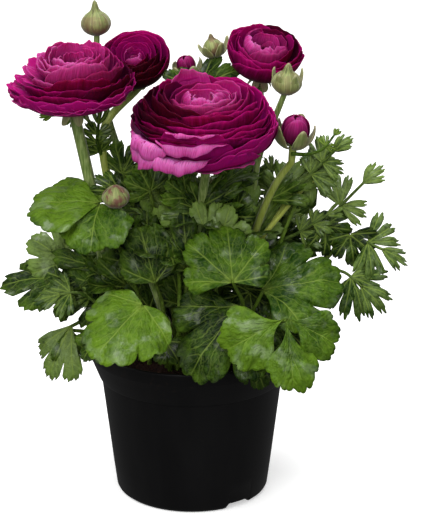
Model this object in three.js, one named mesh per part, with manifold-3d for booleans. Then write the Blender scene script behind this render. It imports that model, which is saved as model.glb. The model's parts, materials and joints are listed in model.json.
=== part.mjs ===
// A ranunculus in a nursery pot: four open blooms, an opening bud and closed buds on their own
// stems above lobed and feathery leaves, all rising from peat in a round plastic pot.
// Millimetres, +Z up. The origin is the centre of the pot's underside and the front faces -Y.
import * as THREE from "three";
import { mergeVertices } from "three/addons/utils/BufferGeometryUtils.js";
import Module from "manifold-3d";

const wasm = await Module();
wasm.setup();

// Pot, a 12 cm nursery pot
const POT_HEIGHT = 92;
const RIM_RADIUS = 60.5;
const COLLAR_RADIUS = 54;
const COLLAR_BOTTOM = 70;
const BASE_RADIUS = 41.8;
const POT_WALL = 1.7;
const FLOOR_TOP = 5.8;
const FOOT_RECESS = 4.1;
const BOSS_RADIUS = 10;
const DRAIN_RADIUS = 4.2;
const DRAIN_RING = 23;
const DRAIN_COUNT = 5;
const NOTCH_COUNT = 2;
const NOTCH_WIDTH = 18;
const NOTCH_DIRECTION = -51;
const ROUND_SIDES = 30;

// Soil, and the feet of the stems that stand in it
const SOIL_EDGE = 83;
const SOIL_CROWN = 85.5;
const HOLE_BOTTOM = 74;
const STEM_BOTTOM = 74.3;
const STEM_FREE = 90;
const CLEARANCE = 0.3;
const MERGE_REACH = 0.012;

// Petals: the step in degrees that their sides keep to, the share of a petal that its claw
// takes, and the length below which a petal is flat, as a share of the bloom's radius
const PETAL_THICKNESS = 0.6;
const PETAL_STEP = 24;
const PETAL_CLAW = 0.5;
const FLAT_PETAL = 0.48;
const HEART_RADIUS = 0.24;
const ROOT_DEPTH = 0.84;
const GOLDEN_TURN = 137.5;

// Leaves, sepals and stalks
const LEAF_THICKNESS = 0.7;
const SEPAL_THICKNESS = 0.8;
const STEM_SIDES = 6;
const STALK_SIDES = 4;
const STALK_RADII = [1.5, 1.0];
const RIB_RADII = [1.5, 0.8];
const LEAFLET_ROLL = 0.2;
const BACK_LEAVES = 6;

const UP = new THREE.Vector3(0, 0, 1);
const degrees = THREE.MathUtils.degToRad;
const mix = THREE.MathUtils.lerp;
const vector = (p) => new THREE.Vector3(p[0], p[1], p[2]);

const FINISH = {
  pot: { color: 0x1b1a1b, roughness: 0.55 },
  soil: { color: 0x2a1712, roughness: 0.95 },
  petal: { color: 0x8a0a58, roughness: 0.5 },
  stem: { color: 0x6f9a3c, roughness: 0.6 },
  leaf: { color: 0x3f7a2a, roughness: 0.5 },
};

const group = new THREE.Group();
const feet = [];

// A repeatable random number from 0 to 1.
function draw(n) {
  const s = Math.sin(n * 127.1 + 311.7) * 43758.5453;
  return s - Math.floor(s);
}

// A repeatable random number from -1 to 1.
function sway(n) {
  return 2 * draw(n) - 1;
}

// A solid from its corner points and its triangles, which face outwards.
function solidFrom(points, faces) {
  const vertProperties = new Float32Array(points.length * 3);
  points.forEach((p, i) => p.toArray(vertProperties, i * 3));
  const triVerts = new Uint32Array(faces.flat());
  return new wasm.Manifold(new wasm.Mesh({ numProp: 3, vertProperties, triVerts }));
}

// Joins solids that cross each other into one body.
function fuse(solids) {
  return solids.reduce((whole, next) => whole.add(next));
}

// The same solid moved to a place.
function moved(solid, place) {
  return solid.transform(place.elements);
}

// The corners and triangles of a solid once every edge shorter than MERGE_REACH is drawn
// together into one corner.
function mergedCorners(solid) {
  const { vertProperties, triVerts } = solid.getMesh();
  const corner = (i) => new THREE.Vector3().fromArray(vertProperties, i * 3);
  const kept = Array.from({ length: vertProperties.length / 3 }, (_, i) => i);
  const find = (i) => (kept[i] === i ? i : find(kept[i]));
  const faces = [];
  for (let f = 0; f < triVerts.length; f += 3) faces.push([...triVerts.subarray(f, f + 3)]);
  for (const face of faces) {
    face.forEach((i, k) => {
      const [a, b] = [find(i), find(face[(k + 1) % 3])];
      if (a !== b && corner(a).distanceTo(corner(b)) < MERGE_REACH) kept[Math.max(a, b)] = Math.min(a, b);
    });
  }
  const merged = faces.map((face) => face.map(find));
  const whole = merged.filter(([a, b, c]) => a !== b && b !== c && c !== a);
  return { vertProperties, triVerts: new Uint32Array(whole.flat()) };
}

// Adds a solid to the plant as a named mesh, standing at its place.
function addPiece(name, solid, finish, place = new THREE.Matrix4()) {
  const { vertProperties, triVerts } = mergedCorners(solid);
  const geometry = new THREE.BufferGeometry();
  geometry.setAttribute("position", new THREE.BufferAttribute(vertProperties, 3));
  geometry.setIndex(new THREE.BufferAttribute(triVerts, 1));
  geometry.computeVertexNormals();
  const mesh = new THREE.Mesh(geometry, new THREE.MeshStandardMaterial(FINISH[finish]));
  mesh.name = name;
  place.decompose(mesh.position, mesh.quaternion, mesh.scale);
  group.add(mesh);
}

// A place whose own z axis points along an axis of the plant.
function facing(origin, axis) {
  const turn = new THREE.Quaternion().setFromUnitVectors(UP, vector(axis).normalize());
  return new THREE.Matrix4().compose(vector(origin), turn, vector([1, 1, 1]));
}

// A closed body through rings of points. Each ring runs anticlockwise, seen against the way from
// the first ring to the last.
function loft(rings) {
  const sides = rings[0].length;
  const last = (rings.length - 1) * sides;
  const faces = [];
  for (let start = 0; start < last; start += sides) {
    for (let k = 0; k < sides; k++) {
      const a = start + k;
      const b = start + ((k + 1) % sides);
      faces.push([a, b, b + sides], [a, b + sides, a + sides]);
    }
  }
  for (let k = 1; k < sides - 1; k++) {
    faces.push([0, k + 1, k], [last, last + k, last + k + 1]);
  }
  return solidFrom(rings.flat(), faces);
}

// A body turned round the z axis from points of radius and height. The relief scales the radius
// by angle and height.
function turned(profile, sides, relief = () => 1) {
  const ringAt = ([radius, height]) =>
    Array.from({ length: sides }, (_, k) => {
      const angle = (2 * Math.PI * k) / sides;
      const r = radius * relief(angle, height);
      return new THREE.Vector3(r * Math.cos(angle), r * Math.sin(angle), height);
    });
  return loft(profile.map(ringAt));
}

// A round stalk along a list of points, with a radius at each point.
function pipe(points, radii, sides) {
  const rings = [];
  let side = new THREE.Vector3(1, 0, 0);
  points.forEach((centre, i) => {
    const before = points[Math.max(i - 1, 0)];
    const after = points[Math.min(i + 1, points.length - 1)];
    const along = after.clone().sub(before).normalize();
    side = side.clone().addScaledVector(along, -side.dot(along)).normalize();
    const other = along.clone().cross(side);
    const ring = Array.from({ length: sides }, (_, k) => {
      const angle = (2 * Math.PI * k) / sides;
      const offset = side.clone().multiplyScalar(radii[i] * Math.cos(angle));
      return offset.addScaledVector(other, radii[i] * Math.sin(angle)).add(centre);
    });
    rings.push(ring);
  });
  return loft(rings);
}

// The direction across a sheet at a point, from small steps along it and across it.
function sheetNormal(sheet, a, t) {
  const step = 1e-3;
  const clamp = THREE.MathUtils.clamp;
  const run = sheet(a, clamp(t + step, 0, 1)).sub(sheet(a, clamp(t - step, 0, 1)));
  const width = sheet(clamp(a + step, 0, 1), t).sub(sheet(clamp(a - step, 0, 1), t));
  return run.cross(width).normalize();
}

// A thin closed solid over a sheet. Every corner is a place (a, t) on the sheet and becomes two
// points, half the thickness above and below it. The edge names the outline's corners in turn.
function slab(sheet, corners, faces, edge, thickness) {
  const upper = [];
  const lower = [];
  for (const [a, t] of corners) {
    const normal = sheetNormal(sheet, a, Math.max(t, 0.02));
    upper.push(sheet(a, t).addScaledVector(normal, thickness / 2));
    lower.push(sheet(a, t).addScaledVector(normal, -thickness / 2));
  }
  const under = corners.length;
  const triangles = [];
  for (const [p, q, r] of faces) triangles.push([p, q, r], [under + p, under + r, under + q]);
  edge.forEach((p, k) => {
    const q = edge[(k + 1) % edge.length];
    triangles.push([under + p, under + q, q], [under + p, q, p]);
  });
  return solidFrom(upper.concat(lower), triangles);
}

// A petal-like slab that starts in one point and is cut into strips across and rows along.
function pointedBlade(sheet, across, along, thickness) {
  const corners = [[0.5, 0]];
  for (let j = 1; j <= along; j++) {
    for (let i = 0; i <= across; i++) corners.push([i / across, j / along]);
  }
  const corner = (i, j) => (j === 0 ? 0 : 1 + (j - 1) * (across + 1) + i);
  const faces = [];
  for (let j = 0; j < along; j++) {
    for (let i = 0; i < across; i++) {
      faces.push([corner(i, j), corner(i, j + 1), corner(i + 1, j + 1)]);
      if (j > 0) faces.push([corner(i, j), corner(i + 1, j + 1), corner(i + 1, j)]);
    }
  }
  const edge = [0];
  for (let j = 1; j < along; j++) edge.push(corner(0, j));
  for (let i = 0; i <= across; i++) edge.push(corner(i, along));
  for (let j = along - 1; j > 0; j--) edge.push(corner(across, j));
  return slab(sheet, corners, faces, edge, thickness);
}

// Pot

const POT_OUTSIDE = [
  [BASE_RADIUS, 0],
  [44.2, 2.5],
  [46.2, 17.5],
  [52.6, COLLAR_BOTTOM],
  [COLLAR_RADIUS, COLLAR_BOTTOM + 1],
  [59.4, 84.5],
  [RIM_RADIUS, POT_HEIGHT - 0.8],
  [RIM_RADIUS - 0.5, POT_HEIGHT],
];

// The inner wall below the rim, from the rim down to the floor
const POT_INSIDE = [
  [59.2, 84.5],
  [COLLAR_RADIUS, COLLAR_BOTTOM + 2],
  [46.2, 17.5],
  [44.4, FLOOR_TOP],
].map(([radius, height]) => [radius - POT_WALL, height]);

// A block across the foot ring, which lets water out where it is cut away.
function footNotch(direction) {
  const outline = new THREE.Shape();
  outline.moveTo(BASE_RADIUS - 8, -NOTCH_WIDTH / 2);
  outline.lineTo(BASE_RADIUS + 8, -NOTCH_WIDTH / 2);
  outline.lineTo(BASE_RADIUS + 8, NOTCH_WIDTH / 2);
  outline.lineTo(BASE_RADIUS - 8, NOTCH_WIDTH / 2);
  const block = new THREE.ExtrudeGeometry(outline, { depth: FOOT_RECESS + 2, bevelEnabled: false });
  block.deleteAttribute("normal");
  block.deleteAttribute("uv");
  const merged = mergeVertices(block.translate(0, 0, -2.1).rotateZ(degrees(direction)));
  const corners = merged.getAttribute("position");
  const points = Array.from({ length: corners.count }, (_, i) =>
    new THREE.Vector3().fromBufferAttribute(corners, i),
  );
  return solidFrom(points, [Array.from(merged.index.array)]);
}

function makePot() {
  const underside = [
    [BOSS_RADIUS, 0],
    [BOSS_RADIUS, FOOT_RECESS],
    [BASE_RADIUS - 5, FOOT_RECESS],
    [BASE_RADIUS - 4, 0],
  ];
  const rim = [[RIM_RADIUS - POT_WALL, POT_HEIGHT]];
  let pot = turned([...underside, ...POT_OUTSIDE, ...rim, ...POT_INSIDE], ROUND_SIDES);
  for (let k = 0; k < DRAIN_COUNT; k++) {
    const angle = degrees((360 * (k + 0.5)) / DRAIN_COUNT);
    const centre = [DRAIN_RING * Math.cos(angle), DRAIN_RING * Math.sin(angle), 0];
    const drain = turned([[DRAIN_RADIUS, 1], [DRAIN_RADIUS, FLOOR_TOP + 2]], 6);
    pot = pot.subtract(moved(drain, facing(centre, [0, 0, 1])));
  }
  for (let k = 0; k < NOTCH_COUNT; k++) {
    pot = pot.subtract(footNotch(NOTCH_DIRECTION + (360 * k) / NOTCH_COUNT));
  }
  addPiece("pot", pot, "pot");
}

// Soil

function makeSoil() {
  const wall = POT_INSIDE.filter(([, height]) => height < SOIL_EDGE)
    .map(([radius, height]) => [radius - CLEARANCE, height])
    .reverse();
  wall[0][1] += CLEARANCE;
  const top = [
    [56, SOIL_EDGE],
    [45, SOIL_EDGE + 0.8],
    [30, SOIL_EDGE + 1.8],
    [14, SOIL_CROWN],
  ];
  const crumbs = (angle, height) =>
    height < SOIL_EDGE ? 1 : 1 - 0.03 * draw(Math.round(angle * 50) + height);
  let soil = turned([...wall, ...top], ROUND_SIDES, crumbs);
  for (const { x, y, radius, sides } of feet) {
    const reach = (radius + CLEARANCE) / Math.cos(Math.PI / sides);
    const hole = turned([[reach, HOLE_BOTTOM], [reach, STEM_FREE]], sides);
    soil = soil.subtract(moved(hole, facing([x, y, 0], [0, 0, 1])));
  }
  addPiece("soil", soil, "soil");
}

// Stems

// Points from the foot in the soil, straight up to the open air and on through the given places.
function route(foot, places, steps) {
  const low = vector([...foot, STEM_BOTTOM]);
  const free = vector([...foot, STEM_FREE]);
  const curve = new THREE.CatmullRomCurve3([free, ...places.map(vector)]);
  return [low, ...curve.getSpacedPoints(steps)];
}

// A stem or leaf stalk that stands in its own hole in the soil and tapers to its top.
function rooted(foot, places, radii, sides, steps) {
  const points = route(foot, places, steps);
  feet.push({ x: foot[0], y: foot[1], radius: radii[0], sides });
  const taper = points.map((_, i) => mix(radii[0], radii[1], Math.max(i - 1, 0) / steps));
  return pipe(points, taper, sides);
}

// A branch from a point inside a stem.
function branch(places, radii, sides, steps) {
  const points = new THREE.CatmullRomCurve3(places.map(vector)).getSpacedPoints(steps);
  const taper = points.map((_, i) => mix(radii[0], radii[1], i / steps));
  return pipe(points, taper, sides);
}

// A point on the axis of a flower, below its base when the distance is negative.
function onAxis(flower, distance) {
  const axis = vector(flower.axis).normalize();
  return vector(flower.base).addScaledVector(axis, distance).toArray();
}

// The stem below a flower. Its last stretch is in line with the flower's axis and widens into
// the seat of the petals.
function stemTo(flower, foot, places, radii, steps = 7) {
  const seat = Math.max(radii[1] * 1.2, flower.radius * 0.12);
  const points = route(foot, [...places, onAxis(flower, -11)], steps);
  const taper = points.map((_, i) => mix(radii[0], radii[1], Math.max(i - 1, 0) / steps));
  points.push(vector(onAxis(flower, -5)), vector(onAxis(flower, -CLEARANCE)));
  feet.push({ x: foot[0], y: foot[1], radius: radii[0], sides: STEM_SIDES });
  return pipe(points, [...taper, mix(radii[1], seat, 0.25), seat], STEM_SIDES);
}

// Petals and sepals

// The sheet of a petal. Its midline leaves the root at one slope and turns evenly to another. It
// widens from a narrow claw, and its sides fall back from the tip in an arch.
function petalSheet(petal) {
  const { root, slopes, length, halfWidth, azimuth, arch, ruffle, phase } = petal;
  const start = degrees(slopes[0]);
  const bend = degrees(slopes[1]) - start;
  return (a, t) => {
    const c = 2 * a - 1;
    const s = t * (1 - arch * Math.abs(c) ** 2.4);
    const slope = start + bend * s;
    const radius = root[0] + (length * (Math.sin(slope) - Math.sin(start))) / bend;
    const height = root[1] + (length * (Math.cos(start) - Math.cos(slope))) / bend;
    const opening = Math.sin((Math.PI / 2) * Math.min(t / PETAL_CLAW, 1));
    const turn = degrees(azimuth + c * halfWidth * opening);
    const ripple = ruffle * Math.sin(phase + 5 * c) * s * s;
    return new THREE.Vector3(radius * Math.cos(turn), radius * Math.sin(turn), height + ripple);
  };
}

// The shape of a bloom from its middle to its outermost petal: place in the bloom from 0 to 1,
// slope at the root, slope at the tip, length as a share of the bloom's radius, and width in
// steps of PETAL_STEP.
const openBloom = (skirtTop, skirtBottom) => [
  [0, 76, 112, 0.3, 5],
  [0.25, 56, 122, 0.5, 4],
  [0.5, 20, 116, 0.7, 4],
  [0.66, 5, 94, 0.86, 3],
  [0.76, -6, 62, 0.92, 4],
  [0.83, -10, 36, 0.86, 4],
  [0.88, -10, skirtTop, 0.82, 4],
  [1, -8, skirtBottom, 0.84, 4],
];

const CUPPED_BLOOM = [
  [0, 74, 112, 0.36, 5],
  [0.4, 45, 120, 0.7, 5],
  [0.75, 20, 116, 1.16, 4],
  [1, 4, 106, 1.38, 4],
];

const OPENING_BUD = [
  [0, 60, 118, 1.8, 5],
  [1, 18, 124, 2.25, 5],
];

// The values of a bloom's shape at one place between its middle and its outside.
function shapeAt(shape, place) {
  const next = Math.max(shape.findIndex((row) => row[0] >= place), 1);
  const [low, high] = [shape[next - 1], shape[next]];
  const share = (place - low[0]) / (high[0] - low[0]);
  return low.map((value, i) => mix(value, high[i], share));
}

// A point on the heart of a bloom, a half egg, as radius and height. The fall is 0 at its top
// and 90 at its widest.
function heartPoint(radius, fall) {
  const angle = degrees(fall);
  return [radius * HEART_RADIUS * Math.sin(angle), radius * (0.05 + 0.42 * Math.cos(angle))];
}

// A bloom round its own z axis. Its petals follow the golden turn down the sides of its heart,
// to the nearest step, so that one nests inside the next.
function bloomSolid({ shape, radius, count, seed, turn = 0 }) {
  const heart = [100, 70, 40, 12].map((fall) => heartPoint(radius, fall));
  const solids = [turned([[radius * 0.16, 0], ...heart], 8)];
  for (let i = 0; i < count; i++) {
    const place = (i / (count - 1)) ** 0.72;
    const [, low, high, length, width] = shapeAt(shape, place);
    const [rootRadius, rootHeight] = heartPoint(radius * ROOT_DEPTH, mix(18, 96, place));
    const steps = Math.round(width);
    const edge = (Math.round((i * GOLDEN_TURN) / PETAL_STEP) + turn) * PETAL_STEP;
    const petal = {
      root: [rootRadius, rootHeight],
      slopes: [low, high + 1.5 * sway(seed + i)],
      length: radius * length * (1 + 0.02 * sway(seed + i + 200)),
      halfWidth: (steps * PETAL_STEP) / 2,
      azimuth: edge + (steps * PETAL_STEP) / 2,
      arch: 0.2,
      ruffle: 0,
      phase: 0,
    };
    const rows = length < FLAT_PETAL ? 1 : 2;
    solids.push(pointedBlade(petalSheet(petal), steps, rows, PETAL_THICKNESS));
  }
  return fuse(solids);
}

// The ring of sepals under a flower or round a bud.
function sepalRing(flower, { count, slopes, length, halfWidth, rows = 2 }) {
  const solids = [];
  for (let k = 0; k < count; k++) {
    const sepal = {
      root: [0.4, -1.5],
      slopes,
      length: length * (1 + 0.1 * sway(k + flower.seed)),
      halfWidth,
      azimuth: (360 * k) / count + 20 * draw(flower.seed),
      arch: 0.3,
      ruffle: 0.3,
      phase: k,
    };
    solids.push(pointedBlade(petalSheet(sepal), 2, rows, SEPAL_THICKNESS));
  }
  return moved(fuse(solids), facing(flower.base, flower.axis));
}

// A closed bud, ribbed where its sepals meet, round its own z axis.
function budSolid(radius, height, tip) {
  const profile = [
    [radius * 0.3, -1],
    [radius * 0.78, height * 0.1],
    [radius, height * 0.38],
    [radius * 0.92, height * 0.62],
    [radius * 0.62, height * 0.85],
    [radius * 0.3, height],
    [radius * 0.07, height + tip],
  ];
  return turned(profile, 10, (angle) => 1 + 0.045 * Math.cos(5 * angle));
}

// Leaves

// The outline and height of a fan of leaf, in which lobes are parted by notches and edged with
// round teeth.
function fanSheet(fan, size, seed) {
  const { spread, lobes = 3, cut = 0.3, teeth = 4, bite = 0.1 } = fan;
  const { taper = 0.25, droop = 0.18, cup = 0, wave = 0.05 } = fan;
  return (a, t) => {
    const u = 2 * a - 1;
    const inLobe = a * lobes - Math.min(Math.floor(a * lobes), lobes - 1);
    const notch = 1 - Math.max(Math.sin(Math.PI * inLobe), 0) ** 0.35;
    const tooth = 1 - Math.abs(Math.sin(Math.PI * teeth * inLobe)) ** 0.7;
    const reach = (1 - taper * u * u) * (1 - cut * notch) * (1 - bite * tooth);
    const rho = t * reach;
    const angle = degrees(u * spread);
    const x = rho * Math.cos(angle);
    const y = rho * Math.sin(angle);
    const ripple = wave * Math.sin(degrees(u * spread * 3) + 6 * draw(seed)) * rho * rho;
    const z = ripple + cup * y * y - droop * x * x;
    return new THREE.Vector3(x * size, y * size, z * size);
  };
}

// The slab of one fan in its own frame: a point at the joint, an inner row that follows the
// lobes, and an outline with every tooth. A slim fan has no inner row.
function fanSlab(fan, size, seed) {
  const { lobes = 3, teeth = 4, slim = false } = fan;
  const inner = slim ? 0 : 2 * lobes;
  const outer = 2 * teeth * lobes;
  const corners = [[0.5, 0]];
  for (let i = 0; i <= inner && !slim; i++) corners.push([i / inner, 0.5]);
  const rim = corners.length;
  for (let i = 0; i <= outer; i++) corners.push([i / outer, 1]);
  const faces = [];
  for (let i = 0; i < inner; i++) {
    const [p, q, start] = [1 + i, 2 + i, rim + i * teeth];
    const half = Math.floor(teeth / 2);
    faces.push([0, p, q], [p, start + half, q]);
    for (let k = 0; k < teeth; k++) faces.push([k < half ? p : q, start + k, start + k + 1]);
  }
  for (let lobe = 0; lobe < lobes && slim; lobe++) {
    const start = rim + 2 * teeth * lobe;
    faces.push([0, start, start + 2 * teeth]);
    for (let k = 1; k < 2 * teeth; k++) faces.push([start, start + k, start + k + 1]);
  }
  const edge = corners.map((_, i) => i).filter((i) => i < 2 || i >= rim);
  if (!slim) edge.push(rim - 1);
  return slab(fanSheet(fan, size, seed), corners, faces, edge, LEAF_THICKNESS);
}

// A fan of leaf that starts at a joint and spreads towards its tip, lying square to its face.
function fanSolid(fan, joint, tip, face, seed) {
  const along = vector(tip).sub(vector(joint));
  const size = along.length() * (fan.size ?? 1);
  along.normalize();
  const up = vector(face);
  up.addScaledVector(along, -up.dot(along)).normalize();
  const place = new THREE.Matrix4().makeBasis(along, up.clone().cross(along), up);
  const turn = degrees(fan.turn ?? 0);
  place.multiply(new THREE.Matrix4().makeRotationZ(turn));
  place.multiply(new THREE.Matrix4().makeRotationX(turn * LEAFLET_ROLL));
  place.setPosition(vector(joint));
  return moved(fanSlab(fan, size, seed), place);
}

const PALMATE = [{ spread: 115, cut: 0.22, taper: 0.5 }];
const ROUNDED = [{ spread: 88, cut: 0.24, taper: 0.35 }];
const RAISED = [{ spread: 66, cut: 0.24, turn: 20 }];
const CLEFT = [{ spread: 78, cut: 0.45, teeth: 3 }];
const WEDGE = [{ spread: 56, cut: 0.4, teeth: 3, taper: 0.15 }];
const PARTED = [{ spread: 100, lobes: 5, cut: 0.55, teeth: 2, bite: 0.14, slim: true }];
const LEAFLET = { lobes: 1, cut: 0.3, teeth: 7, bite: 0.07, taper: 0.15 };
const TERNATE = [
  { ...LEAFLET, spread: 26 },
  { ...LEAFLET, turn: -54, size: 0.95, spread: 26 },
  { ...LEAFLET, turn: 46, size: 0.9, spread: 25 },
];
const TWIN = [
  { ...LEAFLET, spread: 46, teeth: 8 },
  { ...LEAFLET, turn: 88, size: 0.78, spread: 44, teeth: 8 },
  { ...LEAFLET, turn: -84, size: 0.34, spread: 40, teeth: 4 },
];
const FINGERED = { spread: 40, cut: 0.62, teeth: 2, bite: 0.16, slim: true };

// A leaf on its stalk: from the foot through the given places to the joint, where its fans part.
function leafSolid({ foot, via = [], joint, tip, face, fans, stalk = STALK_RADII, seed = 1 }) {
  const along = vector(tip).sub(vector(joint)).normalize();
  const inside = vector(joint).addScaledVector(along, 1.2).toArray();
  const solids = [rooted(foot, [...via, inside], stalk, STALK_SIDES, 4)];
  fans.forEach((fan, k) => solids.push(fanSolid(fan, joint, tip, face, seed + k)));
  return fuse(solids);
}

// A feathery leaf: fingered leaflets on both sides of a rib and one at its tip.
function featherFans(places, { size, pairs, from, face, seed }) {
  const curve = new THREE.CatmullRomCurve3(places.map(vector));
  const solids = [];
  for (let k = 0; k <= pairs; k++) {
    const share = k / pairs;
    const at = mix(from, 0.95, share);
    const joint = curve.getPointAt(at);
    const along = curve.getTangentAt(at);
    const turns = k === pairs ? [0] : [56 + 8 * sway(seed + k), -56 + 8 * sway(seed + k + 9)];
    turns.forEach((turn, side) => {
      const length = size * mix(1, 0.8, share) * (1 + 0.15 * sway(seed + k + side * 5));
      const tip = joint.clone().addScaledVector(along, length);
      const fan = { ...FINGERED, turn };
      solids.push(fanSolid(fan, joint.toArray(), tip.toArray(), face, seed + 3 * k + side));
    });
  }
  return solids;
}

// Parted leaves that grow from one point of a stem, one for each tip.
function stemLeaves(joint, tips, face, seed) {
  return fuse(tips.map((tip, k) => fanSolid(FINGERED, joint, tip, face, seed + k)));
}

// A feathery leaf on its own stalk.
function featherSolid({ foot, places, ...feather }) {
  const rib = rooted(foot, places, RIB_RADII, STALK_SIDES, 5);
  return fuse([rib, ...featherFans(places, feather)]);
}

// Flowers and buds: base, the way each one faces, and the radius of its bloom

const FRONT = { base: [8, -28, 216], axis: [-0.05, -0.15, 1], radius: 41.5, seed: 1 };
const LEFT = { base: [-65, -10, 236], axis: [-0.04, -0.12, 1], radius: 36.5, seed: 40 };
const BACK_LEFT = { base: [-31, 47, 237], axis: [-0.1, -0.6, 0.8], radius: 22, seed: 80 };
const RIGHT = { base: [40, 34, 239], axis: [0.1, -0.42, 0.9], radius: 24.5, seed: 120 };
const OPENING = { base: [57, -15, 212], axis: [0.08, -0.15, 1], radius: 8.2, seed: 160 };
const HALF_HIDDEN = { base: [-2, 44, 238], axis: [-0.2, -0.3, 1], radius: 5.6, seed: 180 };
const RIGHT_BUD = { base: [53, -6, 240], axis: [0.06, -0.1, 1], radius: 7, seed: 300 };
const BACK_BUD = { base: [13, 38, 251], axis: [-0.2, 0, 1], radius: 5, seed: 320 };

function makeBlooms() {
  const blooms = {
    bloom_front: { ...FRONT, shape: openBloom(6, -22), count: 27, turn: 4 },
    bloom_left: { ...LEFT, shape: openBloom(22, 28), count: 21 },
    bloom_back_left: { ...BACK_LEFT, shape: CUPPED_BLOOM, count: 11 },
    bloom_right: { ...RIGHT, shape: CUPPED_BLOOM, count: 12 },
    bud_petals_opening: { ...OPENING, shape: OPENING_BUD, count: 4 },
    bud_petals_half_hidden: { ...HALF_HIDDEN, shape: OPENING_BUD, count: 3 },
  };
  for (const [name, flower] of Object.entries(blooms)) {
    addPiece(name, bloomSolid(flower), "petal", facing(flower.base, flower.axis));
  }
}

const REFLEXED = { count: 5, slopes: [-35, -75], length: 14, halfWidth: 34, rows: 1 };
const HUGGING = { count: 5, slopes: [-8, 118], length: 23, halfWidth: 30 };

function makeFlowerStems() {
  const front = fuse([
    stemTo(FRONT, [4, -12], [[5, -14, 130], [6, -20, 175]], [2.9, 2.6]),
    sepalRing(FRONT, REFLEXED),
    branch([[5, -14, 140], [9, -6, 165], [9, -8, 182]], [1.8, 1.5], 5, 3),
    moved(budSolid(6, 9, 2), facing([9, -8, 181], [0.1, -0.2, 1])),
    stemLeaves([6, -20, 174], [[-14, -26, 186], [24, -28, 192]], [0, -0.8, 0.6], 700),
  ]);
  addPiece("stem_bloom_front", front, "stem");

  const left = fuse([
    stemTo(LEFT, [-26, -14], [[-46, -16, 130], [-57, -12, 190]], [3.4, 3.1]),
    sepalRing(LEFT, REFLEXED),
  ]);
  addPiece("stem_bloom_left", left, "stem");

  const backLeft = fuse([
    stemTo(BACK_LEFT, [-10, 4], [[-34, 6, 140], [-48, 6, 187], [-50, 14, 212]], [2.6, 2.2]),
    sepalRing(BACK_LEFT, { ...REFLEXED, length: 10 }),
    stemLeaves([-49, 8, 196], [[-60, 6, 218], [-42, 2, 222]], [0, -0.9, 0.2], 710),
    branch([[-50, 12, 206], [-62, 10, 222], [-80, 6, 223]], [1.2, 0.8], 5, 3),
    ...featherFans([[-50, 12, 206], [-62, 10, 222], [-80, 6, 223]], {
      size: 11, pairs: 1, from: 0.6, face: [0, -0.9, 0.3], seed: 716,
    }),
  ]);
  addPiece("stem_bloom_back_left", backLeft, "stem");

  const right = fuse([
    stemTo(RIGHT, [16, 9], [[29, 13, 172], [32, 20, 198], [39, 31, 226]], [2.6, 2.3]),
    sepalRing(RIGHT, { ...REFLEXED, length: 11 }),
    stemLeaves([30, 14, 178], [[12, 10, 196], [48, 22, 192]], [0, -0.8, 0.5], 720),
  ]);
  addPiece("stem_bloom_right", right, "stem");

  const opening = fuse([
    stemTo(OPENING, [18, -8], [[38, -8, 164], [48, -12, 189]], [2.4, 2.0]),
    sepalRing(OPENING, HUGGING),
    stemLeaves([44, -10, 178], [[62, -18, 192]], [0, -0.8, 0.5], 730),
  ]);
  addPiece("stem_bud_opening", opening, "stem");
}

function makeBudStems() {
  const tallStem = [[-24, 18, 140], [-40, 22, 191], [-49, 32, 219], [-54, 34, 249], [-54, 34, 265]];
  const tall = fuse([
    rooted([-6, 14], tallStem, [2.4, 1.7], STEM_SIDES, 8),
    moved(budSolid(7.8, 13, 6), facing([-54, 34, 264], [-0.05, 0, 1])),
    stemLeaves([-34, 20, 172], [[-16, 16, 190]], [0, -0.8, 0.5], 740),
  ]);
  addPiece("bud_stem_tall", tall, "stem");

  const right = fuse([
    rooted([24, 2], [[34, 2, 168], [38, 0, 199], [46, -4, 222], [53, -6, 241]], [2.2, 1.6], STEM_SIDES, 6),
    moved(budSolid(7.2, 12, 4), facing(RIGHT_BUD.base, RIGHT_BUD.axis)),
    sepalRing(RIGHT_BUD, { count: 5, slopes: [0, 125], length: 19, halfWidth: 26 }),
  ]);
  addPiece("bud_stem_right", right, "stem");

  const halfHiddenSeat = onAxis(HALF_HIDDEN, -5);
  const halfHiddenTop = onAxis(HALF_HIDDEN, -3 * CLEARANCE);
  const back = fuse([
    rooted([8, 14], [[12, 22, 150], [15, 30, 200], [13, 38, 252]], [2.3, 1.5], STEM_SIDES, 5),
    moved(budSolid(5, 9, 3), facing(BACK_BUD.base, BACK_BUD.axis)),
    sepalRing(BACK_BUD, { count: 5, slopes: [0, 120], length: 13, halfWidth: 26 }),
    branch([[15, 30, 200], [6, 38, 220], halfHiddenSeat, halfHiddenTop], [1.6, 1.3], 5, 4),
    sepalRing(HALF_HIDDEN, { count: 4, slopes: [-18, 112], length: 15, halfWidth: 28 }),
    branch([[5, 38, 223], [4, 36, 229], [5, 33, 235]], [1.2, 1.0], 3, 4),
    fanSolid({ ...WEDGE[0], spread: 36 }, [5, 33, 234], [20, 26, 248], [0, -0.8, 0.5], 750),
    stemLeaves([14, 28, 188], [[-6, 32, 202]], [0, -0.6, 0.8], 752),
  ]);
  addPiece("bud_stem_back", back, "stem");

  const low = fuse([
    rooted([-10, -20], [[-20, -31, 130], [-33, -36, 165], [-41, -37, 184.5]], [2.0, 1.6], STEM_SIDES, 5),
    moved(budSolid(6.9, 11, 1), facing([-41, -37, 183.5], [-0.05, -0.1, 1])),
  ]);
  addPiece("bud_stem_low", low, "stem");
}

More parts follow.
